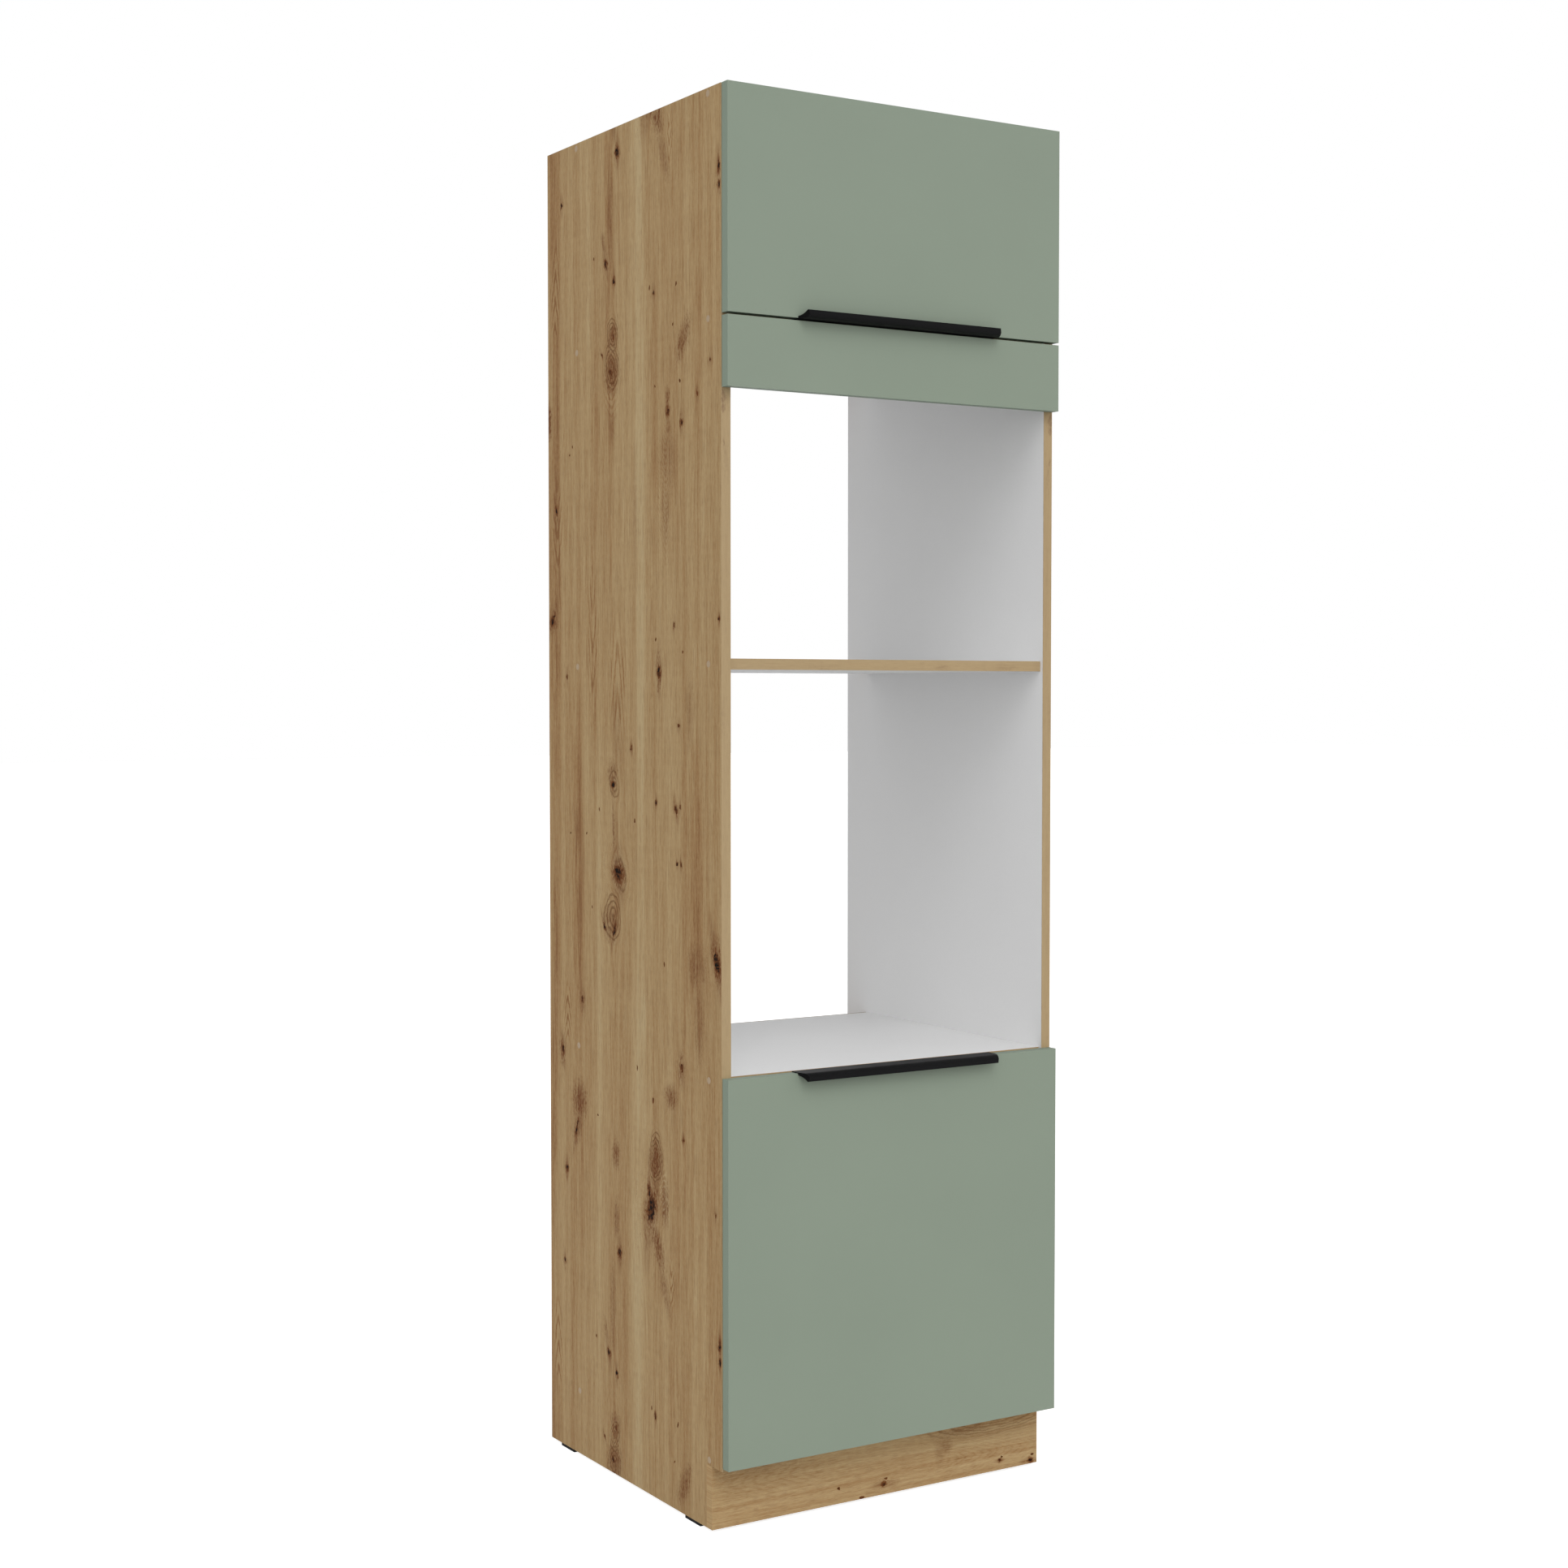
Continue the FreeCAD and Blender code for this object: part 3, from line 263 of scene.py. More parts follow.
SMUDGES = (             # brown feathered patches: back, up, half width, half height, strength
    (19.2, 209.5, 20, 40, 0.9, 0.4), (16.9, 203, 14, 44, 0.5, 0.35), (33.8, 197, 11, 85, 0.5),
    (32.5, 211, 10, 38, 0.6), (36, 192.5, 8, 24, 0.6, 0.3), (11, 175, 18, 36, 0.8, -0.45),
    (33, 178, 19, 26, 0.7), (33.3, 172.5, 26, 38, 0.85), (33.5, 164, 13, 44, 0.35),
    (55.5, 167.0, 13, 34, 1.6), (15.6, 167, 8, 17, 0.8), (15.5, 162.5, 9, 16, 0.6),
    (15.5, 158, 30, 56, 0.4), (16.3, 150, 15, 56, 0.4), (53, 152.4, 7, 44, 0.5), (53.5, 135, 14, 26, 0.9),
    (18.5, 126, 8, 40, 0.9), (32, 117, 20, 80, 0.3), (33.3, 110.5, 18, 26, 0.7),
    (33.2, 102, 4, 52, 0.9, 0.05), (32.4, 100, 9, 50, 0.3), (31.5, 94.5, 26, 26, 0.6),
    (34, 87, 28, 34, 0.65), (7, 82.5, 32, 38, 0.65), (6.4, 74.5, 16, 70, 0.5), (1, 84, 17, 38, 0.8),
    (45.8, 101, 9, 50, 0.45), (44, 74, 12, 30, 0.6), (51, 65, 13, 32, 0.7), (11.7, 67, 14, 28, 0.8),
    (15, 62.3, 22, 20, 0.85), (45, 57.5, 28, 36, 0.95), (45.7, 53, 17, 34, 0.8, -0.35),
    (32.7, 50.7, 15, 26, 0.8), (19.7, 51.8, 22, 42, 0.95), (17.0, 46, 16, 40, 0.7), (21, 44.5, 21, 36, 0.7),
    (49.7, 45.8, 9, 16, 0.6), (3, 171, 8, 9, 0.5), (44, 96, 9, 100, 0.3), (9, 120, 14, 60, 0.3),
    (26, 150, 10, 90, 0.25),
)
SWIRLS = (              # nested rings: back, up, half width, half height, rings, strength
    (33, 177.7, 20, 30, 4, 0.9), (33.3, 172.7, 26, 40, 5, 0.9), (19.7, 51.0, 22, 42, 6, 1.0),
    (33.3, 107.5, 18, 28, 3, 0.6), (34, 87, 30, 40, 4, 0.8), (31.5, 94, 28, 34, 2, 0.5),
)
PLUMES = (              # arches: back, up, half width, half height, lines, how much they arch, strength
    (16.4, 154, 38, 130, 13.0, 0.7, 0.2), (15.2, 205.5, 14, 45, 2.0, 1.2, 0.4),
    (31.8, 125, 34, 118, 1.6, -2.0, 0.34), (33.4, 168, 26, 42, 3.4, 0.7, 0.22),
    (17.2, 46.5, 14, 40, 5.0, -0.6, -0.6), (49.5, 70, 18, 60, 2.2, -1.1, 0.4),
    (53, 187.5, 18, 90, 2.2, -1.0, 0.35), (52, 148, 20, 90, 2.2, 1.1, 0.3),
    (40, 130, 24, 130, 2.2, 1.1, 0.25),
)
STRIPES = (             # stripes: back, half width, strength (below 0 for a pale one), lower and upper end
    (33, 14, 0.16, -50, 300), (45, 24, 0.24, 35, 125), (14, 26, 0.22, 125, 172), (7, 34, 0.26, 40, 115),
    (39, 22, 0.22, 110, 180), (52, 14, 0.14, 125, 180), (20, 14, 0.2, 95, 190), (53, 12, 0.2, 60, 100),
    (42, 24, -0.18, 100, 260), (25, 30, -0.28, -50, 300), (38, 12, -0.18, 60, 125), (9, 14, -0.18, 100, 220),
    (49, 10, -0.2, 0, 60), (28, 12, -0.16, 0, 60), (21, 10, -0.16, 0, 120), (55, 40, 0.26, -50, 300),
    (9, 22, 0.16, 160, 240), (5, 10, -0.16, 0, 60), (12, 16, 0.16, -20, 50),
)
PLINTH_EYES = (         # on the plinth, from its lower edge and its left end
    (1.6, 30.4, 4, 6, 1.0), (2.4, 30.8, 2, 3, 0.8), (2.3, 22.3, 2, 3, 1.0), (0.1, 26.4, 2, 5, 0.9),
    (1.5, 52.7, 3, 3, 0.9), (2.0, 53.0, 2, 2, 0.8), (0.5, 58.7, 4, 6, 1.0), (1.4, 59.2, 2, 3, 0.9),
)
PLINTH_SMUDGES = (
    (5.6, 42.0, 14, 16, 0.55), (5.0, 41.0, 22, 12, 0.35), (1.5, 31.0, 6, 30, 0.45), (7.5, 45.0, 9, 60, 0.4),
    (8.0, 8.0, 12, 90, 0.3),
)
PLINTH_SWIRLS = ((9.0, 52.0, 34, 150, 7, 0.45),)
PLINTH_PLUMES = ((6.0, 10.0, 34, 150, 7.0, 0.7, 0.1), (3.0, 50.0, 30, 120, 8.0, -0.7, 0.1))
# brown patches on the side strips: the four between 157 and 166 cm, just under the fascia, are painted shade,
# and the last one is a mark of the print
BAND_MARKS_AND_SHADE = (        # on the side strips, from their inner edge and from the floor
    (1.2, 166.0, 4, 12, 1.6), (1.15, 164.4, 3, 9, 1.4), (1.2, 159.3, 2, 9, 0.8), (0.8, 157, 4, 25, 0.4),
    (1.2, 120, 5, 30, 0.3),
)
SHELF_SMUDGES = ((0.8, 38, 5, 20, 0.45), (0.8, 17, 4, 30, 0.3), (1.0, 50, 5, 25, 0.35))

# Scales of the oak's noise, per metre across and along the grain
ZONE_SCALE = (22, 0.5)
BAND_SCALE = (70, 1.3)
FIBRE_SCALE = (210, 13)
STRAND_SCALE = (420, 16)
GRIT_SCALE = (330, 130, 1)
PORE_SCALE = (1300, 60, 1)
PATCH_SCALE = (16, 2.6, 1)
DRIFT_SCALE = (7, 1.6, 1)
RAGGED_SCALE = (90, 45, 1)
EDGE_SCALE = (330, 170, 1)
KNOT_SCALE = (240, 120, 1)
PORE_RELIEF_SCALE = (1300, 42, 1)
LINE_RELIEF_SCALE = (330, 6, 1)

# The oak's tone: its middle, and how far each noise moves it between the noise's lowest and highest
MIDDLE_TONE = 0.53
ZONE_SWING = 0.9
BAND_SWING = 0.18
FIBRE_SWING = 1.1
GRIT_SWING = 0.4

# How far the grain drifts and the marks' outlines are ragged, in metres across and along
DRIFT = (0.03, 0.12, 0)
RAGGED = (0.009, 0.014, 0)
FLOW_DRIFT = 0.016

SMALLEST_EYE = 0.002    # a knot with no more than this half width is a plain speck
STRIPE_SPREAD = 0.0013  # metres from the middle to the faded edge of a stripe, for each unit of half width
STRIPE_FRAY = 0.02      # how far the fibres fray a stripe, in metres
CENTRED = (0.5, 0.5, 0.5)   # the middle of a coloured noise
MARK_INPUTS = {"Place": "VECTOR", "Centre": "VECTOR", "Side": "VECTOR", "Rise": "VECTOR"}


def floats(*names):
    """Sockets of a group that hold one number each."""
    return dict.fromkeys(names, "FLOAT")


def mark_group():
    """A place seen from a mark's centre, in half sizes of the mark across and along the grain."""
    g = Group("mark", MARK_INPUTS, {"Spot": "VECTOR"})
    offset = g.vector("SUBTRACT", g.given["Place"], g.given["Centre"])
    turn, never = DECOR_REPEAT / 2, 10.0
    offset = g.vector("WRAP", offset, (never, turn, never), (-never, -turn, -never))
    sideways = g.vector("DOT_PRODUCT", offset, g.given["Side"])
    return g.done(g.join(sideways, g.vector("DOT_PRODUCT", offset, g.given["Rise"])))


def spot_of(g, mark):
    """Where the place lies in the mark that the group is given."""
    return g.use(mark, **{name: g.given[name] for name in MARK_INPUTS})[0]


def eye_group(mark):
    """A knot: a dark core, a brown rim and tail, and grain that bends round it.

    Each is added to what came before.
    """
    inputs = floats("Wide", "Darkness", "Rough", "Core", "Halo", "Bend")
    g = Group("eye", MARK_INPUTS | inputs, floats("Core", "Halo", "Bend"))
    spot = spot_of(g, mark)
    distance = g.math("ADD", g.vector("LENGTH", spot), g.given["Rough"])
    core = g.math("MULTIPLY", g.fit(distance, 1.15, 0.45), g.given["Darkness"])
    rim = g.math("MULTIPLY", g.fit(distance, 2.1, 0.9, 0.0, 0.95), g.given["Darkness"])
    tail = g.vector("LENGTH", g.vector("MULTIPLY", spot, (0.6, 0.22, 0)))
    tail = g.math("MULTIPLY", g.fit(tail, 1.15, 0.1, 0.0, 0.7), g.given["Darkness"])
    halo = g.math("MAXIMUM", g.given["Halo"], g.math("MAXIMUM", rim, tail))
    bend = g.math("MULTIPLY", g.vector("DOT_PRODUCT", spot, (1, 0, 0)), g.given["Wide"])
    bend = g.math("MULTIPLY", bend, g.fit(distance, 4.0, 0.4, 0.0, 0.75))
    return g.done(g.math("MAXIMUM", g.given["Core"], core), halo, g.math("ADD", g.given["Bend"], bend))


def speck_group(mark):
    """A pin knot: only a dark core."""
    g = Group("speck", MARK_INPUTS | floats("Darkness", "Core"), floats("Core"))
    distance = g.vector("LENGTH", spot_of(g, mark))
    core = g.math("MULTIPLY", g.fit(distance, 1.4, 0.5, 0.0, 0.85), g.given["Darkness"])
    return g.done(g.math("MAXIMUM", g.given["Core"], core))


def smudge_group(mark):
    """A brown patch that fades outwards."""
    g = Group("smudge", MARK_INPUTS | floats("Strength", "Rough", "Halo"), floats("Halo"))
    distance = g.math("ADD", g.vector("LENGTH", spot_of(g, mark)), g.given["Rough"])
    patch = g.math("MULTIPLY", g.fit(distance, 1.25, 0.2), g.given["Strength"])
    return g.done(g.math("MAXIMUM", g.given["Halo"], patch))


def swirl_group(mark):
    """Nested rings round a place, and grain that bends round them."""
    inputs = floats("Wide", "Rings", "Strength", "Ring", "Bend")
    g = Group("swirl", MARK_INPUTS | inputs, floats("Ring", "Bend"))
    spot = spot_of(g, mark)
    distance = g.vector("LENGTH", spot)
    wave = g.math("SINE", g.math("MULTIPLY", g.math("MULTIPLY", distance, 2 * math.pi), g.given["Rings"]))
    ring = g.math("MULTIPLY", g.fit(wave, 0.0, 1.0), g.fit(distance, 1.15, 0.7))
    ring = g.math("MULTIPLY", ring, g.given["Strength"])
    bend = g.math("MULTIPLY", g.vector("DOT_PRODUCT", spot, (1, 0, 0)), g.given["Wide"])
    bend = g.math("MULTIPLY", bend, g.fit(distance, 1.6, 0.5, 0.0, 0.55))
    return g.done(g.math("MAXIMUM", g.given["Ring"], ring), g.math("ADD", g.given["Bend"], bend))


def plume_group(mark):
    """Arched grain, line above line, taken from the tone so far."""
    g = Group("plume", MARK_INPUTS | floats("Lines", "Arch", "Strength", "Tone"), floats("Tone"))
    spot = spot_of(g, mark)
    sideways = g.vector("DOT_PRODUCT", spot, (1, 0, 0))
    arch = g.math("SQRT", g.math("MULTIPLY_ADD", sideways, sideways, 0.03))
    height = g.vector("DOT_PRODUCT", spot, (0, 1, 0))
    height = g.math("SUBTRACT", height, g.math("MULTIPLY", arch, g.given["Arch"]))
    wave = g.math("SINE", g.math("MULTIPLY", g.math("MULTIPLY", height, 2 * math.pi), g.given["Lines"]))
    line = g.math("MULTIPLY", g.fit(wave, -0.2, 1.0, -0.25, 1.0), g.fit(g.vector("LENGTH", spot), 1.15, 0.4))
    return g.done(g.math("SUBTRACT", g.given["Tone"], g.math("MULTIPLY", line, g.given["Strength"])))


def stripe_group():
    """A warmer or lighter stripe along the grain, taken from the tone so far."""
    inputs = floats("Flow", "Along", "Patchy", "Back", "Half", "Strength", "Middle", "Reach", "Tone")
    g = Group("stripe", inputs, floats("Tone"))
    side = g.math("ABSOLUTE", g.math("SUBTRACT", g.given["Flow"], g.given["Back"]))
    stripe = g.math("MULTIPLY", g.fit(side, g.given["Half"], 0.0), g.given["Strength"])
    stripe = g.math("MULTIPLY", stripe, g.given["Patchy"])
    end = g.math("ABSOLUTE", g.math("SUBTRACT", g.given["Along"], g.given["Middle"]))
    end = g.math("SUBTRACT", end, g.given["Reach"])
    stripe = g.math("MULTIPLY", stripe, g.fit(end, 0.1, -0.15))
    return g.done(g.math("SUBTRACT", g.given["Tone"], stripe))


MARK = mark_group()
EYE = eye_group(MARK)
SPECK = speck_group(MARK)
SMUDGE = smudge_group(MARK)
SWIRL = swirl_group(MARK)
PLUME = plume_group(MARK)
STRIPE = stripe_group()


def read_mark(row, count):
    """A mark's half width in metres, its own values, of which there are count, and its place."""
    back, up, wide, tall = row[0] / 100, row[1] / 100, row[2] / 1000, row[3] / 1000
    values = row[4:4 + count]
    lean = row[4 + count] if len(row) > 4 + count else 0.0
    place = {"Centre": (back, up, 0), "Side": (1 / wide, -lean / wide, 0), "Rise": (0, 1 / tall, 0)}
    return wide, values, place


def finer(scale, fine):
    """A noise's scale for grain that is so many times as fine."""
    return scale[0] * fine, scale[1] * fine, 1


def knots_and_patches(g, place, wavy, rough, eyes, smudges, swirls):
    """The knots' cores, the brown patches, the rings, and how far the grain bends round them."""
    core = halo = ring = bend = 0.0
    for row in eyes:
        wide, (darkness,), where = read_mark(row, 1)
        if wide > SMALLEST_EYE:
            core, halo, bend = g.use(EYE, Place=place, Wide=wide, Darkness=darkness, Rough=rough,
                                     Core=core, Halo=halo, Bend=bend, **where)
        else:
            core = g.use(SPECK, Place=place, Darkness=darkness, Core=core, **where)[0]
    for row in smudges:
        wide, (strength,), where = read_mark(row, 1)
        halo = g.use(SMUDGE, Place=place, Strength=strength, Rough=rough, Halo=halo, **where)[0]
    for row in swirls:
        wide, (rings, strength), where = read_mark(row, 2)
        ring, bend = g.use(SWIRL, Place=wavy, Wide=wide, Rings=rings, Strength=strength,
                           Ring=ring, Bend=bend, **where)
    return core, halo, ring, bend


def plain_tone(g, grain, fibre, grit, contrast, fine):
    """The tone of oak without marks, brown at 0 and pale at 1: wide zones, bands, fibres and grit."""
    zone, band = ZONE_SWING * contrast, BAND_SWING * contrast
    fibrous, gritty = FIBRE_SWING * contrast, GRIT_SWING * contrast
    zones = g.noise(grain, finer(ZONE_SCALE, fine), 2)
    bands = g.noise(grain, finer(BAND_SCALE, fine), 2)
    tone = g.math("MULTIPLY_ADD", zones, zone, MIDDLE_TONE - zone / 2)
    tone = g.math("ADD", tone, g.fit(bands, 0.4, 0.6, -band / 2, band / 2))
    tone = g.math("ADD", tone, g.math("MULTIPLY_ADD", fibre, fibrous, -fibrous / 2))
    return g.math("ADD", tone, g.math("MULTIPLY_ADD", grit, gritty, -gritty / 2))


def striped_tone(g, tone, frayed, along, patchy, stripes):
    """The tone with warm and pale stripes, whose sides the fibres fray."""
    for back, wide, strength, low, high in stripes:
        tone = g.use(STRIPE, Flow=frayed, Along=along, Patchy=patchy, Back=back / 100,
                     Half=wide * STRIPE_SPREAD, Strength=strength, Middle=(low + high) / 200,
                     Reach=(high - low) / 200, Tone=tone)[0]
    return tone


def arched_tone(g, tone, wavy, plumes):
    """The tone with arched grain."""
    for row in plumes:
        wide, (lines, arch, strength), where = read_mark(row, 3)
        tone = g.use(PLUME, Place=wavy, Lines=lines, Arch=arch, Strength=strength, Tone=tone, **where)[0]
    return tone


def dark_lines(g, grain, ring, contrast, fine):
    """Dark strands, pores and rings, from 0 for none."""
    strands = g.noise(grain, finer(STRAND_SCALE, fine), 2, 0.65)
    lines = g.fit(strands, 0.52, 0.74, 0.0, 0.5 * contrast)
    pores = g.fit(g.noise(grain, PORE_SCALE, 0), 0.56, 0.74, 0.0, 0.3)
    return g.math("MULTIPLY_ADD", ring, 0.5, g.math("MAXIMUM", lines, pores))


def knotted(g, colour, grain, fibre, grit, core, halo, ring):
    """The colour with the brown patches, the rings and the knots' cores."""
    feather = g.math("MULTIPLY", g.fit(fibre, 0.62, 0.36, 0.6, 1.15), g.fit(grit, 0.36, 0.6, 0.5, 1.25))
    feather = g.math("MINIMUM", g.math("MULTIPLY", halo, feather), 1.0)
    colour = g.blend(feather, colour, KNOT_BROWN)
    colour = g.blend(g.math("MULTIPLY", ring, 0.55), colour, KNOT_RIM)
    inner = g.math("MULTIPLY_ADD", g.noise(grain, KNOT_SCALE, 2), 0.9, 0.55)
    inner = g.math("MULTIPLY_ADD", core, -0.55, inner)
    knot = g.ramp(inner, (0.43, KNOT_BLACK), (0.56, KNOT_RIM), (0.85, KNOT_BROWN))
    return g.blend(g.fit(core, 0.1, 0.5), colour, knot)


def oak_group(name, seed, eyes=(), smudges=(), swirls=(), plumes=(), stripes=(), contrast=1.0, fine=1.0):
    """Knotty oak with its grain along one direction: its colour and the height of its pores."""
    g = Group(name, floats("Across", "Along"), {"Colour": "COLOR", "Height": "FLOAT"})
    across, along = g.given["Across"], g.given["Along"]
    flat = g.join(across, along, seed)

    # Places with ragged outlines, for the marks
    ragged = g.vector("SUBTRACT", g.noise(flat, RAGGED_SCALE, 3, 0.65, "Color"), CENTRED)
    slow = g.vector("SUBTRACT", g.noise(flat, DRIFT_SCALE, 1, output="Color"), CENTRED)
    place = g.vector("ADD", g.vector("MULTIPLY", ragged, RAGGED), g.join(across, along))
    wavy = g.vector("ADD", g.vector("MULTIPLY", slow, DRIFT), place)
    rough = g.math("MULTIPLY_ADD", g.noise(flat, EDGE_SCALE, 2, 0.6), 1.5, -0.75)
    core, halo, ring, bend = knots_and_patches(g, place, wavy, rough, eyes, smudges, swirls)

    # Grain that bends round the knots
    flow = g.math("MULTIPLY_ADD", g.vector("DOT_PRODUCT", slow, (1, 0, 0)), FLOW_DRIFT, across)
    flow = g.math("SUBTRACT", flow, bend)
    grain = g.join(flow, along, seed)
    fibre = g.noise(grain, finer(FIBRE_SCALE, fine), 4, 0.7)
    grit = g.noise(flat, (GRIT_SCALE[0] * fine, *GRIT_SCALE[1:]), 2)
    patchy = g.fit(g.noise(grain, PATCH_SCALE, 2), 0.3, 0.65, 0.4, 1.3)
    frayed = g.math("MULTIPLY_ADD", fibre, STRIPE_FRAY, g.math("SUBTRACT", flow, STRIPE_FRAY / 2))

    tone = plain_tone(g, grain, fibre, grit, contrast, fine)
    tone = striped_tone(g, tone, frayed, along, patchy, stripes)
    tone = arched_tone(g, tone, wavy, plumes)
    lines = dark_lines(g, grain, ring, contrast, fine)
    colour = g.ramp(tone, *OAK_TONES)
    colour = g.blend(g.math("MINIMUM", g.math("MULTIPLY", lines, 0.8), 1.0), colour, OAK_LINE)
    colour = knotted(g, colour, grain, fibre, grit, core, halo, ring)
    return g.done(colour, g.math("SUBTRACT", 1.0, g.math("MAXIMUM", lines, core)))


def pore_relief(t, across, along):
    """The height of a print's embossed pores, without the knots."""
    pores = t.noise(t.join(across, along), PORE_RELIEF_SCALE, 0)
    lines = t.noise(t.join(across, along), LINE_RELIEF_SCALE, 1)
    return t.math("SUBTRACT", t.fit(lines, 0.8, 0.4), t.fit(pores, 0.56, 0.74, 0.0, 0.5))


def oak_roughness(t, height):
    """Pores and knots are duller than the varnish between them."""
    return t.fit(height, 0.0, 1.0, 0.62, 0.47)


# Other board faces

CHIP_ROUGHNESS = 0.78


def white_face(t):
    """White melamine with a faint pearl grain: colour and relief."""
    grain = t.noise(t.place, 650, 2)
    cloud = t.noise(t.place, 5, 2)
    colour = t.scaled(WHITE[:3], t.fit(t.math("ADD", grain, cloud), 0.6, 1.4, 0.985, 1.01))
    return colour, grain


def chip_face(t):
    """The cut edge of chipboard: pressed flakes in several browns."""
    flakes = t.cells(t.place, 520, "Color")
    fine = t.noise(t.place, 1500, 3, 0.7)
    tone = t.math("ADD", t.math("MULTIPLY", t.split(flakes)[0], 0.6), t.math("MULTIPLY", fine, 0.5))
    browns = (0.15, paint(112, 80, 48)), (0.45, paint(166, 132, 90)), (0.9, paint(206, 180, 138))
    return t.ramp(tone, *browns), tone


def is_facing(t, axis, sign=0):
    """1 where the surface faces along an axis, in one direction or in both."""
    part = t.split(t.facing)[axis]
    part = t.math("MULTIPLY", part, float(sign)) if sign else t.math("ABSOLUTE", part)
    return t.math("GREATER_THAN", part, 0.7)


def melamine(t, faces, smoother, gloss):
    """White where faces is 1, smoother than the cut chipboard on the rest."""
    white_colour, white_height = white_face(t)
    chip_colour, chip_height = chip_face(t)
    t.bump(t.blend(faces, chip_height, t.math("MULTIPLY", white_height, 0.2)), BOARD_RELIEF)
    roughness = t.math("MULTIPLY_ADD", faces, -smoother, CHIP_ROUGHNESS)
    return t.done(t.blend(faces, chip_colour, white_colour), roughness, Specular_IOR_Level=gloss)


def side_board(name, print_group, outward, mirrored):
    """A side panel: oak outside, white inside, cut chipboard at its edges."""
    t = Finish(name)
    x, y, z = t.split(t.place)
    low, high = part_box("left_side_panel")
    back = t.math("SUBTRACT", y, low.y)
    up = t.math("SUBTRACT", z, low.z)
    if mirrored:
        up = t.math("ADD", up, RIGHT_PRINT_SHIFT)
        back = t.math("SUBTRACT", high.y - low.y, back)
    melamine(t, is_facing(t, 0, -outward), smoother=0.25, gloss=0.17)
    t.second_face(is_facing(t, 0, outward))
    oak_colour, oak_height = t.use(print_group, Across=back, Along=up)
    t.bump(pore_relief(t, back, up), BOARD_RELIEF)
    return t.done(oak_colour, oak_roughness(t, oak_height), Specular_IOR_Level=OAK_GLOSS)


def oak_board():
    """The plinth: the grain runs across, and its upper and lower edges are cut."""
    t = Finish("oak_board")
    x, y, z = t.split(t.place)
    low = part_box("plinth_board")[0]
    up = t.math("SUBTRACT", z, low.z)
    along = t.math("SUBTRACT", x, low.x)
    print_group = oak_group("plinth_print", 3.0, PLINTH_EYES, PLINTH_SMUDGES, PLINTH_SWIRLS, PLINTH_PLUMES,
                            fine=PLINTH_FINENESS)
    colour, height = t.use(print_group, Across=up, Along=along)
    chip_colour, chip_height = chip_face(t)
    cut = is_facing(t, 2)
    t.bump(t.blend(cut, pore_relief(t, up, along), chip_height), BOARD_RELIEF)
    colour = t.blend(cut, t.scaled(colour, PLINTH_PALER), chip_colour)
    return t.done(colour, oak_roughness(t, height), Specular_IOR_Level=OAK_GLOSS)


def oak_edging():
    """Edging strips: the grain follows the strip, up the sides and across the shelves."""
    t = Finish("oak_edging")
    x, y, z = t.split(t.place)
    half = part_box("top_panel")[1].x
    upright = t.math("GREATER_THAN", t.math("ABSOLUTE", x), half)
    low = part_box("side_edge_bands")[0]
    strip = t.math("SUBTRACT", t.math("ABSOLUTE", x), half)
    # the side strips' brown patches include painted shade just under the fascia
    side_strip = oak_group("side_strip", 7.0, smudges=BAND_MARKS_AND_SHADE, contrast=STRIP_CONTRAST)
    side_colour, side_height = t.use(side_strip, Across=strip, Along=z)
    across = t.math("MODULO", t.math("SUBTRACT", z, low.z), SHELF_PRINT_STEP)
    shelf_strip = oak_group("shelf_strip", 11.0, smudges=SHELF_SMUDGES, contrast=STRIP_CONTRAST)
    shelf_colour, shelf_height = t.use(shelf_strip, Across=across, Along=t.math("ADD", x, half))
    colour = t.blend(STRIP_WASH, t.blend(upright, shelf_colour, side_colour), EDGING_WASH)
    height = t.blend(upright, shelf_height, side_height)
    relief = t.blend(upright, pore_relief(t, across, x), pore_relief(t, strip, z))
    t.bump(relief, EDGING_RELIEF)
    return t.done(colour, oak_roughness(t, height), Specular_IOR_Level=OAK_GLOSS)


def white_board(name, axis, smoother, gloss):
    """A board with white faces along an axis and cut edges."""
    t = Finish(name)
    return melamine(t, is_facing(t, axis), smoother, gloss)


def sage_front():
    """Fibreboard front under matt sage foil, with painted shade on its edges, which are made slightly darker
    and cooler than its faces.
    """
    t = Finish("sage_front")
    grain = t.noise(t.place, 900, 2, 0.6)
    cloud = t.noise(t.place, 4, 3)
    # painted shade on the edges: every face that doesn't look forward or back is darker and cooler
    colour = t.blend(is_facing(t, 1), SAGE_SHADED_EDGE, SAGE)
    light = t.math("ADD", t.math("MULTIPLY", cloud, 0.7), t.math("MULTIPLY", grain, 0.3))
    light = t.fit(light, 0.2, 0.8, 0.97, 1.03)
    t.bump(grain, FINE_RELIEF)
    rough = t.fit(cloud, 0.2, 0.8, 0.56, 0.62)
    return t.done(t.scaled(colour, light), rough, Specular_IOR_Level=SAGE_GLOSS)


def hardboard():
    """Thin board: white lacquer on the front face, brown pressed fibre elsewhere."""
    t = Finish("hardboard")
    white_colour, white_height = white_face(t)
    fibre = t.noise(t.place, 420, 4, 0.75)
    specks = t.fit(t.cells(t.place, 240), 0.05, 0.3)
    tone = t.math("MULTIPLY_ADD", fibre, 0.8, t.math("MULTIPLY", specks, 0.2))
    brown = t.ramp(tone, (0.2, paint(92, 66, 42)), (0.55, paint(134, 102, 68)), (0.9, paint(164, 132, 94)))
    front = is_facing(t, 1, -1)
    t.bump(t.blend(front, fibre, t.math("MULTIPLY", white_height, 0.15)), FIBRE_RELIEF)
    roughness = t.math("MULTIPLY_ADD", front, -0.35, 0.8)
    return t.done(t.blend(front, brown, white_colour), roughness, Specular_IOR_Level=0.2)


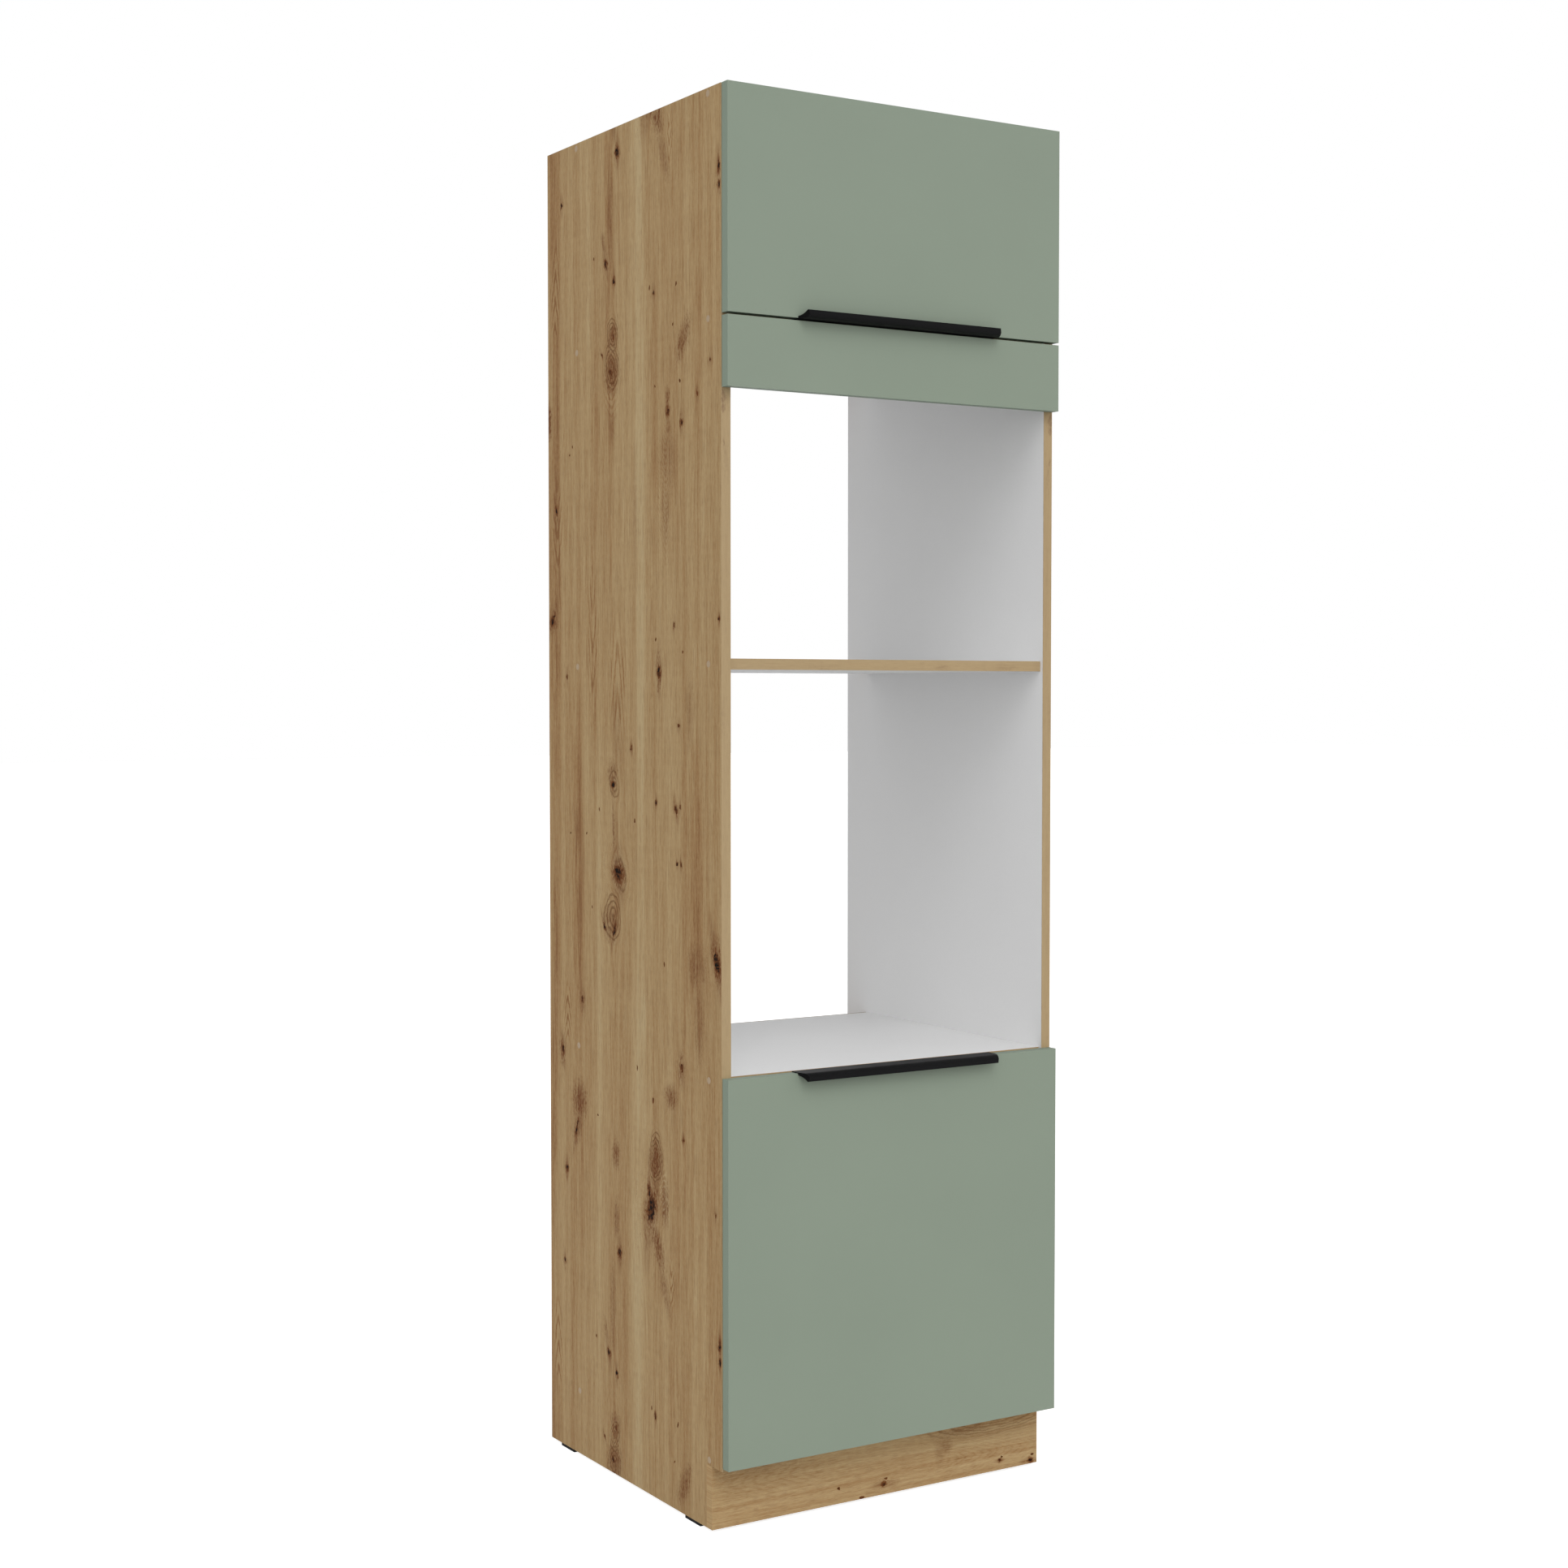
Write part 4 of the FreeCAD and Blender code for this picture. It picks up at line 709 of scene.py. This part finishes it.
def plain_wood(name, light, dark, axis, fine):
    """Plain wood: softwood or beech, with its grain along an axis."""
    t = Finish(name)
    stretch = [fine] * 3
    stretch[axis] = fine * 0.04
    grain = t.noise(t.place, tuple(stretch), 4, 0.6)
    pores = t.noise(t.place, tuple(5 * s for s in stretch), 2)
    tone = t.math("MULTIPLY_ADD", grain, 0.75, t.math("MULTIPLY", pores, 0.25))
    t.bump(pores, WOOD_RELIEF)
    return t.done(t.ramp(tone, (0.3, dark), (0.7, light)), t.fit(tone, 0.3, 0.7, 0.75, 0.6))


# Metal and plastic


def black_aluminium():
    """Black anodised aluminium with faint drawing lines along the profile."""
    t = Finish("black_aluminium")
    lines = t.noise(t.place, (14, 1600, 1600), 3, 0.6)
    mist = t.noise(t.place, 900, 2)
    tone = t.math("MULTIPLY_ADD", lines, 0.7, t.math("MULTIPLY", mist, 0.3))
    t.bump(tone, DRAWN_RELIEF)
    colour = t.ramp(tone, (0.2, paint(10, 10, 11)), (0.8, paint(17, 17, 18)))
    return t.done(colour, t.fit(tone, 0.2, 0.8, 0.44, 0.56), Specular_IOR_Level=HANDLE_GLOSS)


def zinc_steel():
    """Zinc-plated steel with soft spangles and a faint rolled grain."""
    t = Finish("zinc_steel")
    spangle = t.split(t.cells(t.place, 260, "Color"))[0]
    rolled = t.noise(t.place, (900, 60, 900), 3)
    cloud = t.noise(t.place, 30, 3)
    tone = t.math("MULTIPLY_ADD", rolled, 0.35, t.math("MULTIPLY", cloud, 0.4))
    tone = t.math("ADD", t.math("MULTIPLY", spangle, 0.25), tone)
    greys = (0.2, paint(176, 178, 182)), (0.55, paint(200, 202, 205)), (0.9, paint(220, 220, 221))
    t.bump(rolled, FINE_RELIEF)
    return t.done(t.ramp(tone, *greys), t.fit(tone, 0.2, 0.8, 0.42, 0.26), Metallic=1.0)


def grey_painted_steel():
    """Powder coat with its fine orange-peel surface."""
    t = Finish("grey_painted_steel")
    peel = t.noise(t.place, 700, 2, 0.45)
    cloud = t.noise(t.place, 8, 2)
    flecks = t.noise(t.place, 2600, 1)
    light = t.fit(t.math("MULTIPLY_ADD", flecks, 0.6, t.math("MULTIPLY", cloud, 0.4)), 0.25, 0.75, 0.94, 1.05)
    t.bump(peel, PEEL_RELIEF)
    return t.done(t.scaled(paint(150, 152, 155)[:3], light), t.fit(peel, 0.2, 0.8, 0.4, 0.5), Metallic=0.15)


def moulded(name, colour, rough, gloss=0.5):
    """Moulded plastic with a fine spark-eroded surface and slight flow marks."""
    t = Finish(name)
    fine = t.noise(t.place, 1400, 2, 0.6)
    flow = t.noise(t.place, 22, 3)
    light = t.fit(t.math("MULTIPLY_ADD", fine, 0.4, t.math("MULTIPLY", flow, 0.6)), 0.25, 0.75, 0.95, 1.05)
    t.bump(fine, FINE_RELIEF)
    roughness = t.fit(flow, 0.2, 0.8, rough - 0.05, rough + 0.05)
    return t.done(t.scaled(colour[:3], light), roughness, Specular_IOR_Level=gloss)


def clear_rubber():
    """Soft clear buffers: slightly milky polyurethane."""
    t = Finish("clear_rubber")
    milk = t.noise(t.place, 500, 2)
    t.bump(milk, FINE_RELIEF)
    colour = t.scaled(paint(232, 232, 226)[:3], t.fit(milk, 0.2, 0.8, 0.93, 1.0))
    return t.done(colour, t.fit(milk, 0.2, 0.8, 0.2, 0.32), Transmission_Weight=0.6, IOR=1.48)


# Dressing it

JOIN_WITHIN = 0.00001
SHARP_ANGLE = math.radians(40)


def dress():
    """Gives every CAD node its material, by the record's material slot or by its own name."""
    finishes = {
        "oak_board": oak_board(),
        "oak_edging": oak_edging(),
        "white_board": white_board("white_board", axis=2, smoother=0.18, gloss=0.12),
        "sage_front": sage_front(),
        "hardboard": hardboard(),
        "softwood": plain_wood("softwood", paint(214, 184, 136), paint(176, 138, 92), axis=0, fine=320),
        "beech": plain_wood("beech", paint(206, 172, 132), paint(176, 138, 100), axis=0, fine=700),
        "black_aluminium": black_aluminium(),
        "zinc_steel": zinc_steel(),
        "grey_painted_steel": grey_painted_steel(),
        "grey_plastic": moulded("grey_plastic", paint(140, 142, 144), rough=0.5),
        "brown_plastic": moulded("brown_plastic", paint(168, 144, 113), rough=0.5),
        "black_plastic": moulded("black_plastic", paint(11, 11, 12), rough=0.7, gloss=0.1),
        "white_plastic": moulded("white_plastic", paint(226, 226, 222), rough=0.4),
        "clear_rubber": clear_rubber(),
    }
    side_print = oak_group("side_print", 0.0, EYES, SMUDGES, SWIRLS, PLUMES, STRIPES)
    special = {
        "left_side_panel": side_board("left_board", side_print, -1, False),
        "right_side_panel": side_board("right_board", side_print, 1, True),
        "drawer_back": white_board("white_upright", axis=1, smoother=0.35, gloss=0.22),
    }
    for name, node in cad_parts.items():
        for place in node.material_slots:
            place.material = special.get(name) or finishes[place.material.name]


def round_edges():
    """Small rounded edges, which catch the light as real ones do. Shared corners are joined first."""
    boards, plinth, metal, fronts = 0.0003, 0.0005, 0.0006, 0.0009
    widths = {
        "flap_panel": fronts, "fascia_panel": fronts, "pullout_front": fronts, "cover_caps": fronts,
        "left_side_panel": boards, "right_side_panel": boards, "glides": boards,
        "side_edge_bands": boards, "shelf_edge_bands": boards, "plinth_board": plinth,
        "left_drawer_side": metal, "right_drawer_side": metal,
    }
    for name, width in widths.items():
        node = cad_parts[name]
        weld = node.modifiers.new("join", "WELD")
        weld.merge_threshold = JOIN_WITHIN
        bevel = node.modifiers.new("round", "BEVEL")
        bevel.width = width
        bevel.segments = 2
        bevel.limit_method = "ANGLE"
        bevel.angle_limit = SHARP_ANGLE
        bevel.harden_normals = True
        bevel.use_clamp_overlap = True


# The studio

FLOOR_REACH = 40.0
FLOOR_GLOW = 0.82       # what makes the lit floor white where it is seen directly
SKY_SIDE_LIGHT = 1.17   # how bright the sky is to the left and to the right
SKY_FRONT_LIGHT = 0.66  # and in front of the object
LAMP_LIGHT = 0.75
LAMP_WIDTH = math.radians(35)
LAMP_FROM = (-0.27, -1.0, 1.2)
LENS = 55.4             # for a sensor 36 mm wide
CAMERA_PLACE = (-2.0579, -3.2603, 1.2332)
LOOKING_DOWN = 2.14     # degrees
TURNED_RIGHT = 31.85


def floor():
    """A pale studio floor. To the camera and in mirrors it glows up to white, and it keeps a soft shadow."""
    mesh = bpy.data.meshes.new("studio_floor")
    shape = bmesh.new()
    bmesh.ops.create_grid(shape, x_segments=8, y_segments=8, size=FLOOR_REACH)
    shape.to_mesh(mesh)
    shape.free()
    thing = bpy.data.objects.new("studio_floor", mesh)
    bpy.context.scene.collection.objects.link(thing)
    t = Finish("studio_floor")
    colour = t.ramp(t.noise(t.place, 3, 2), (0.2, paint(203, 203, 203)), (0.8, paint(208, 208, 208)))
    t.done(colour, 0.9, Specular_IOR_Level=0.0)
    seen = seen_directly(t)
    glow = t.nodes.new("ShaderNodeEmission")
    t.links.new(t.math("MULTIPLY", seen, FLOOR_GLOW), glow.inputs["Strength"])
    both = t.nodes.new("ShaderNodeAddShader")
    t.links.new(t.shader.outputs[0], both.inputs[0])
    t.links.new(glow.outputs[0], both.inputs[1])
    t.links.new(both.outputs[0], t.end.inputs["Surface"])
    mesh.materials.append(t.material)


def seen_directly(t):
    """1 for rays from the camera, for mirrored rays and for rays through glass."""
    path = t.nodes.new("ShaderNodeLightPath").outputs
    seen = t.math("MAXIMUM", path["Is Camera Ray"], path["Is Glossy Ray"])
    return t.math("MAXIMUM", seen, path["Is Transmission Ray"])


def high_lamp():
    """A large soft lamp, high up in front and a little to the left."""
    lamp = bpy.data.lights.new("high_lamp", "SUN")
    lamp.angle = LAMP_WIDTH
    lamp.energy = LAMP_LIGHT
    thing = bpy.data.objects.new("high_lamp", lamp)
    thing.rotation_euler = Vector(LAMP_FROM).to_track_quat("Z", "Y").to_euler()
    bpy.context.scene.collection.objects.link(thing)


def studio_light():
    """A pale sky, bright on both sides and in front, and a high soft lamp."""
    world = bpy.data.worlds.new("studio")
    bpy.context.scene.world = world
    world.use_nodes = True
    t = Tree(world.node_tree)
    end = t.nodes.new("ShaderNodeOutputWorld")
    sky = t.nodes.new("ShaderNodeBackground")
    sky.inputs["Color"].default_value = (1, 1, 1, 1)
    x, y, z = t.split(t.nodes.new("ShaderNodeTexCoord").outputs["Generated"])
    side = t.math("MULTIPLY", t.math("ABSOLUTE", x), SKY_SIDE_LIGHT)
    front = t.math("MULTIPLY", t.math("MAXIMUM", t.math("MULTIPLY", y, -1.0), 0.0), SKY_FRONT_LIGHT)
    level = t.math("MAXIMUM", t.math("ADD", side, front), seen_directly(t))
    t.feed(sky.inputs["Strength"], level)
    t.links.new(sky.outputs[0], end.inputs["Surface"])
    high_lamp()


def camera():
    """The photograph's view: from the left front, a little above the middle, looking slightly down."""
    lens = bpy.data.cameras.new("photo_view")
    lens.sensor_width = 36
    lens.lens = LENS
    lens.clip_start, lens.clip_end = 0.05, 200
    thing = bpy.data.objects.new("photo_view", lens)
    thing.location = CAMERA_PLACE
    thing.rotation_euler = (math.radians(90 - LOOKING_DOWN), 0, math.radians(-TURNED_RIGHT))
    bpy.context.scene.collection.objects.link(thing)
    bpy.context.scene.camera = thing


bpy.context.scene.view_settings.view_transform = "Standard"
camera()
studio_light()
floor()
dress()
round_edges()
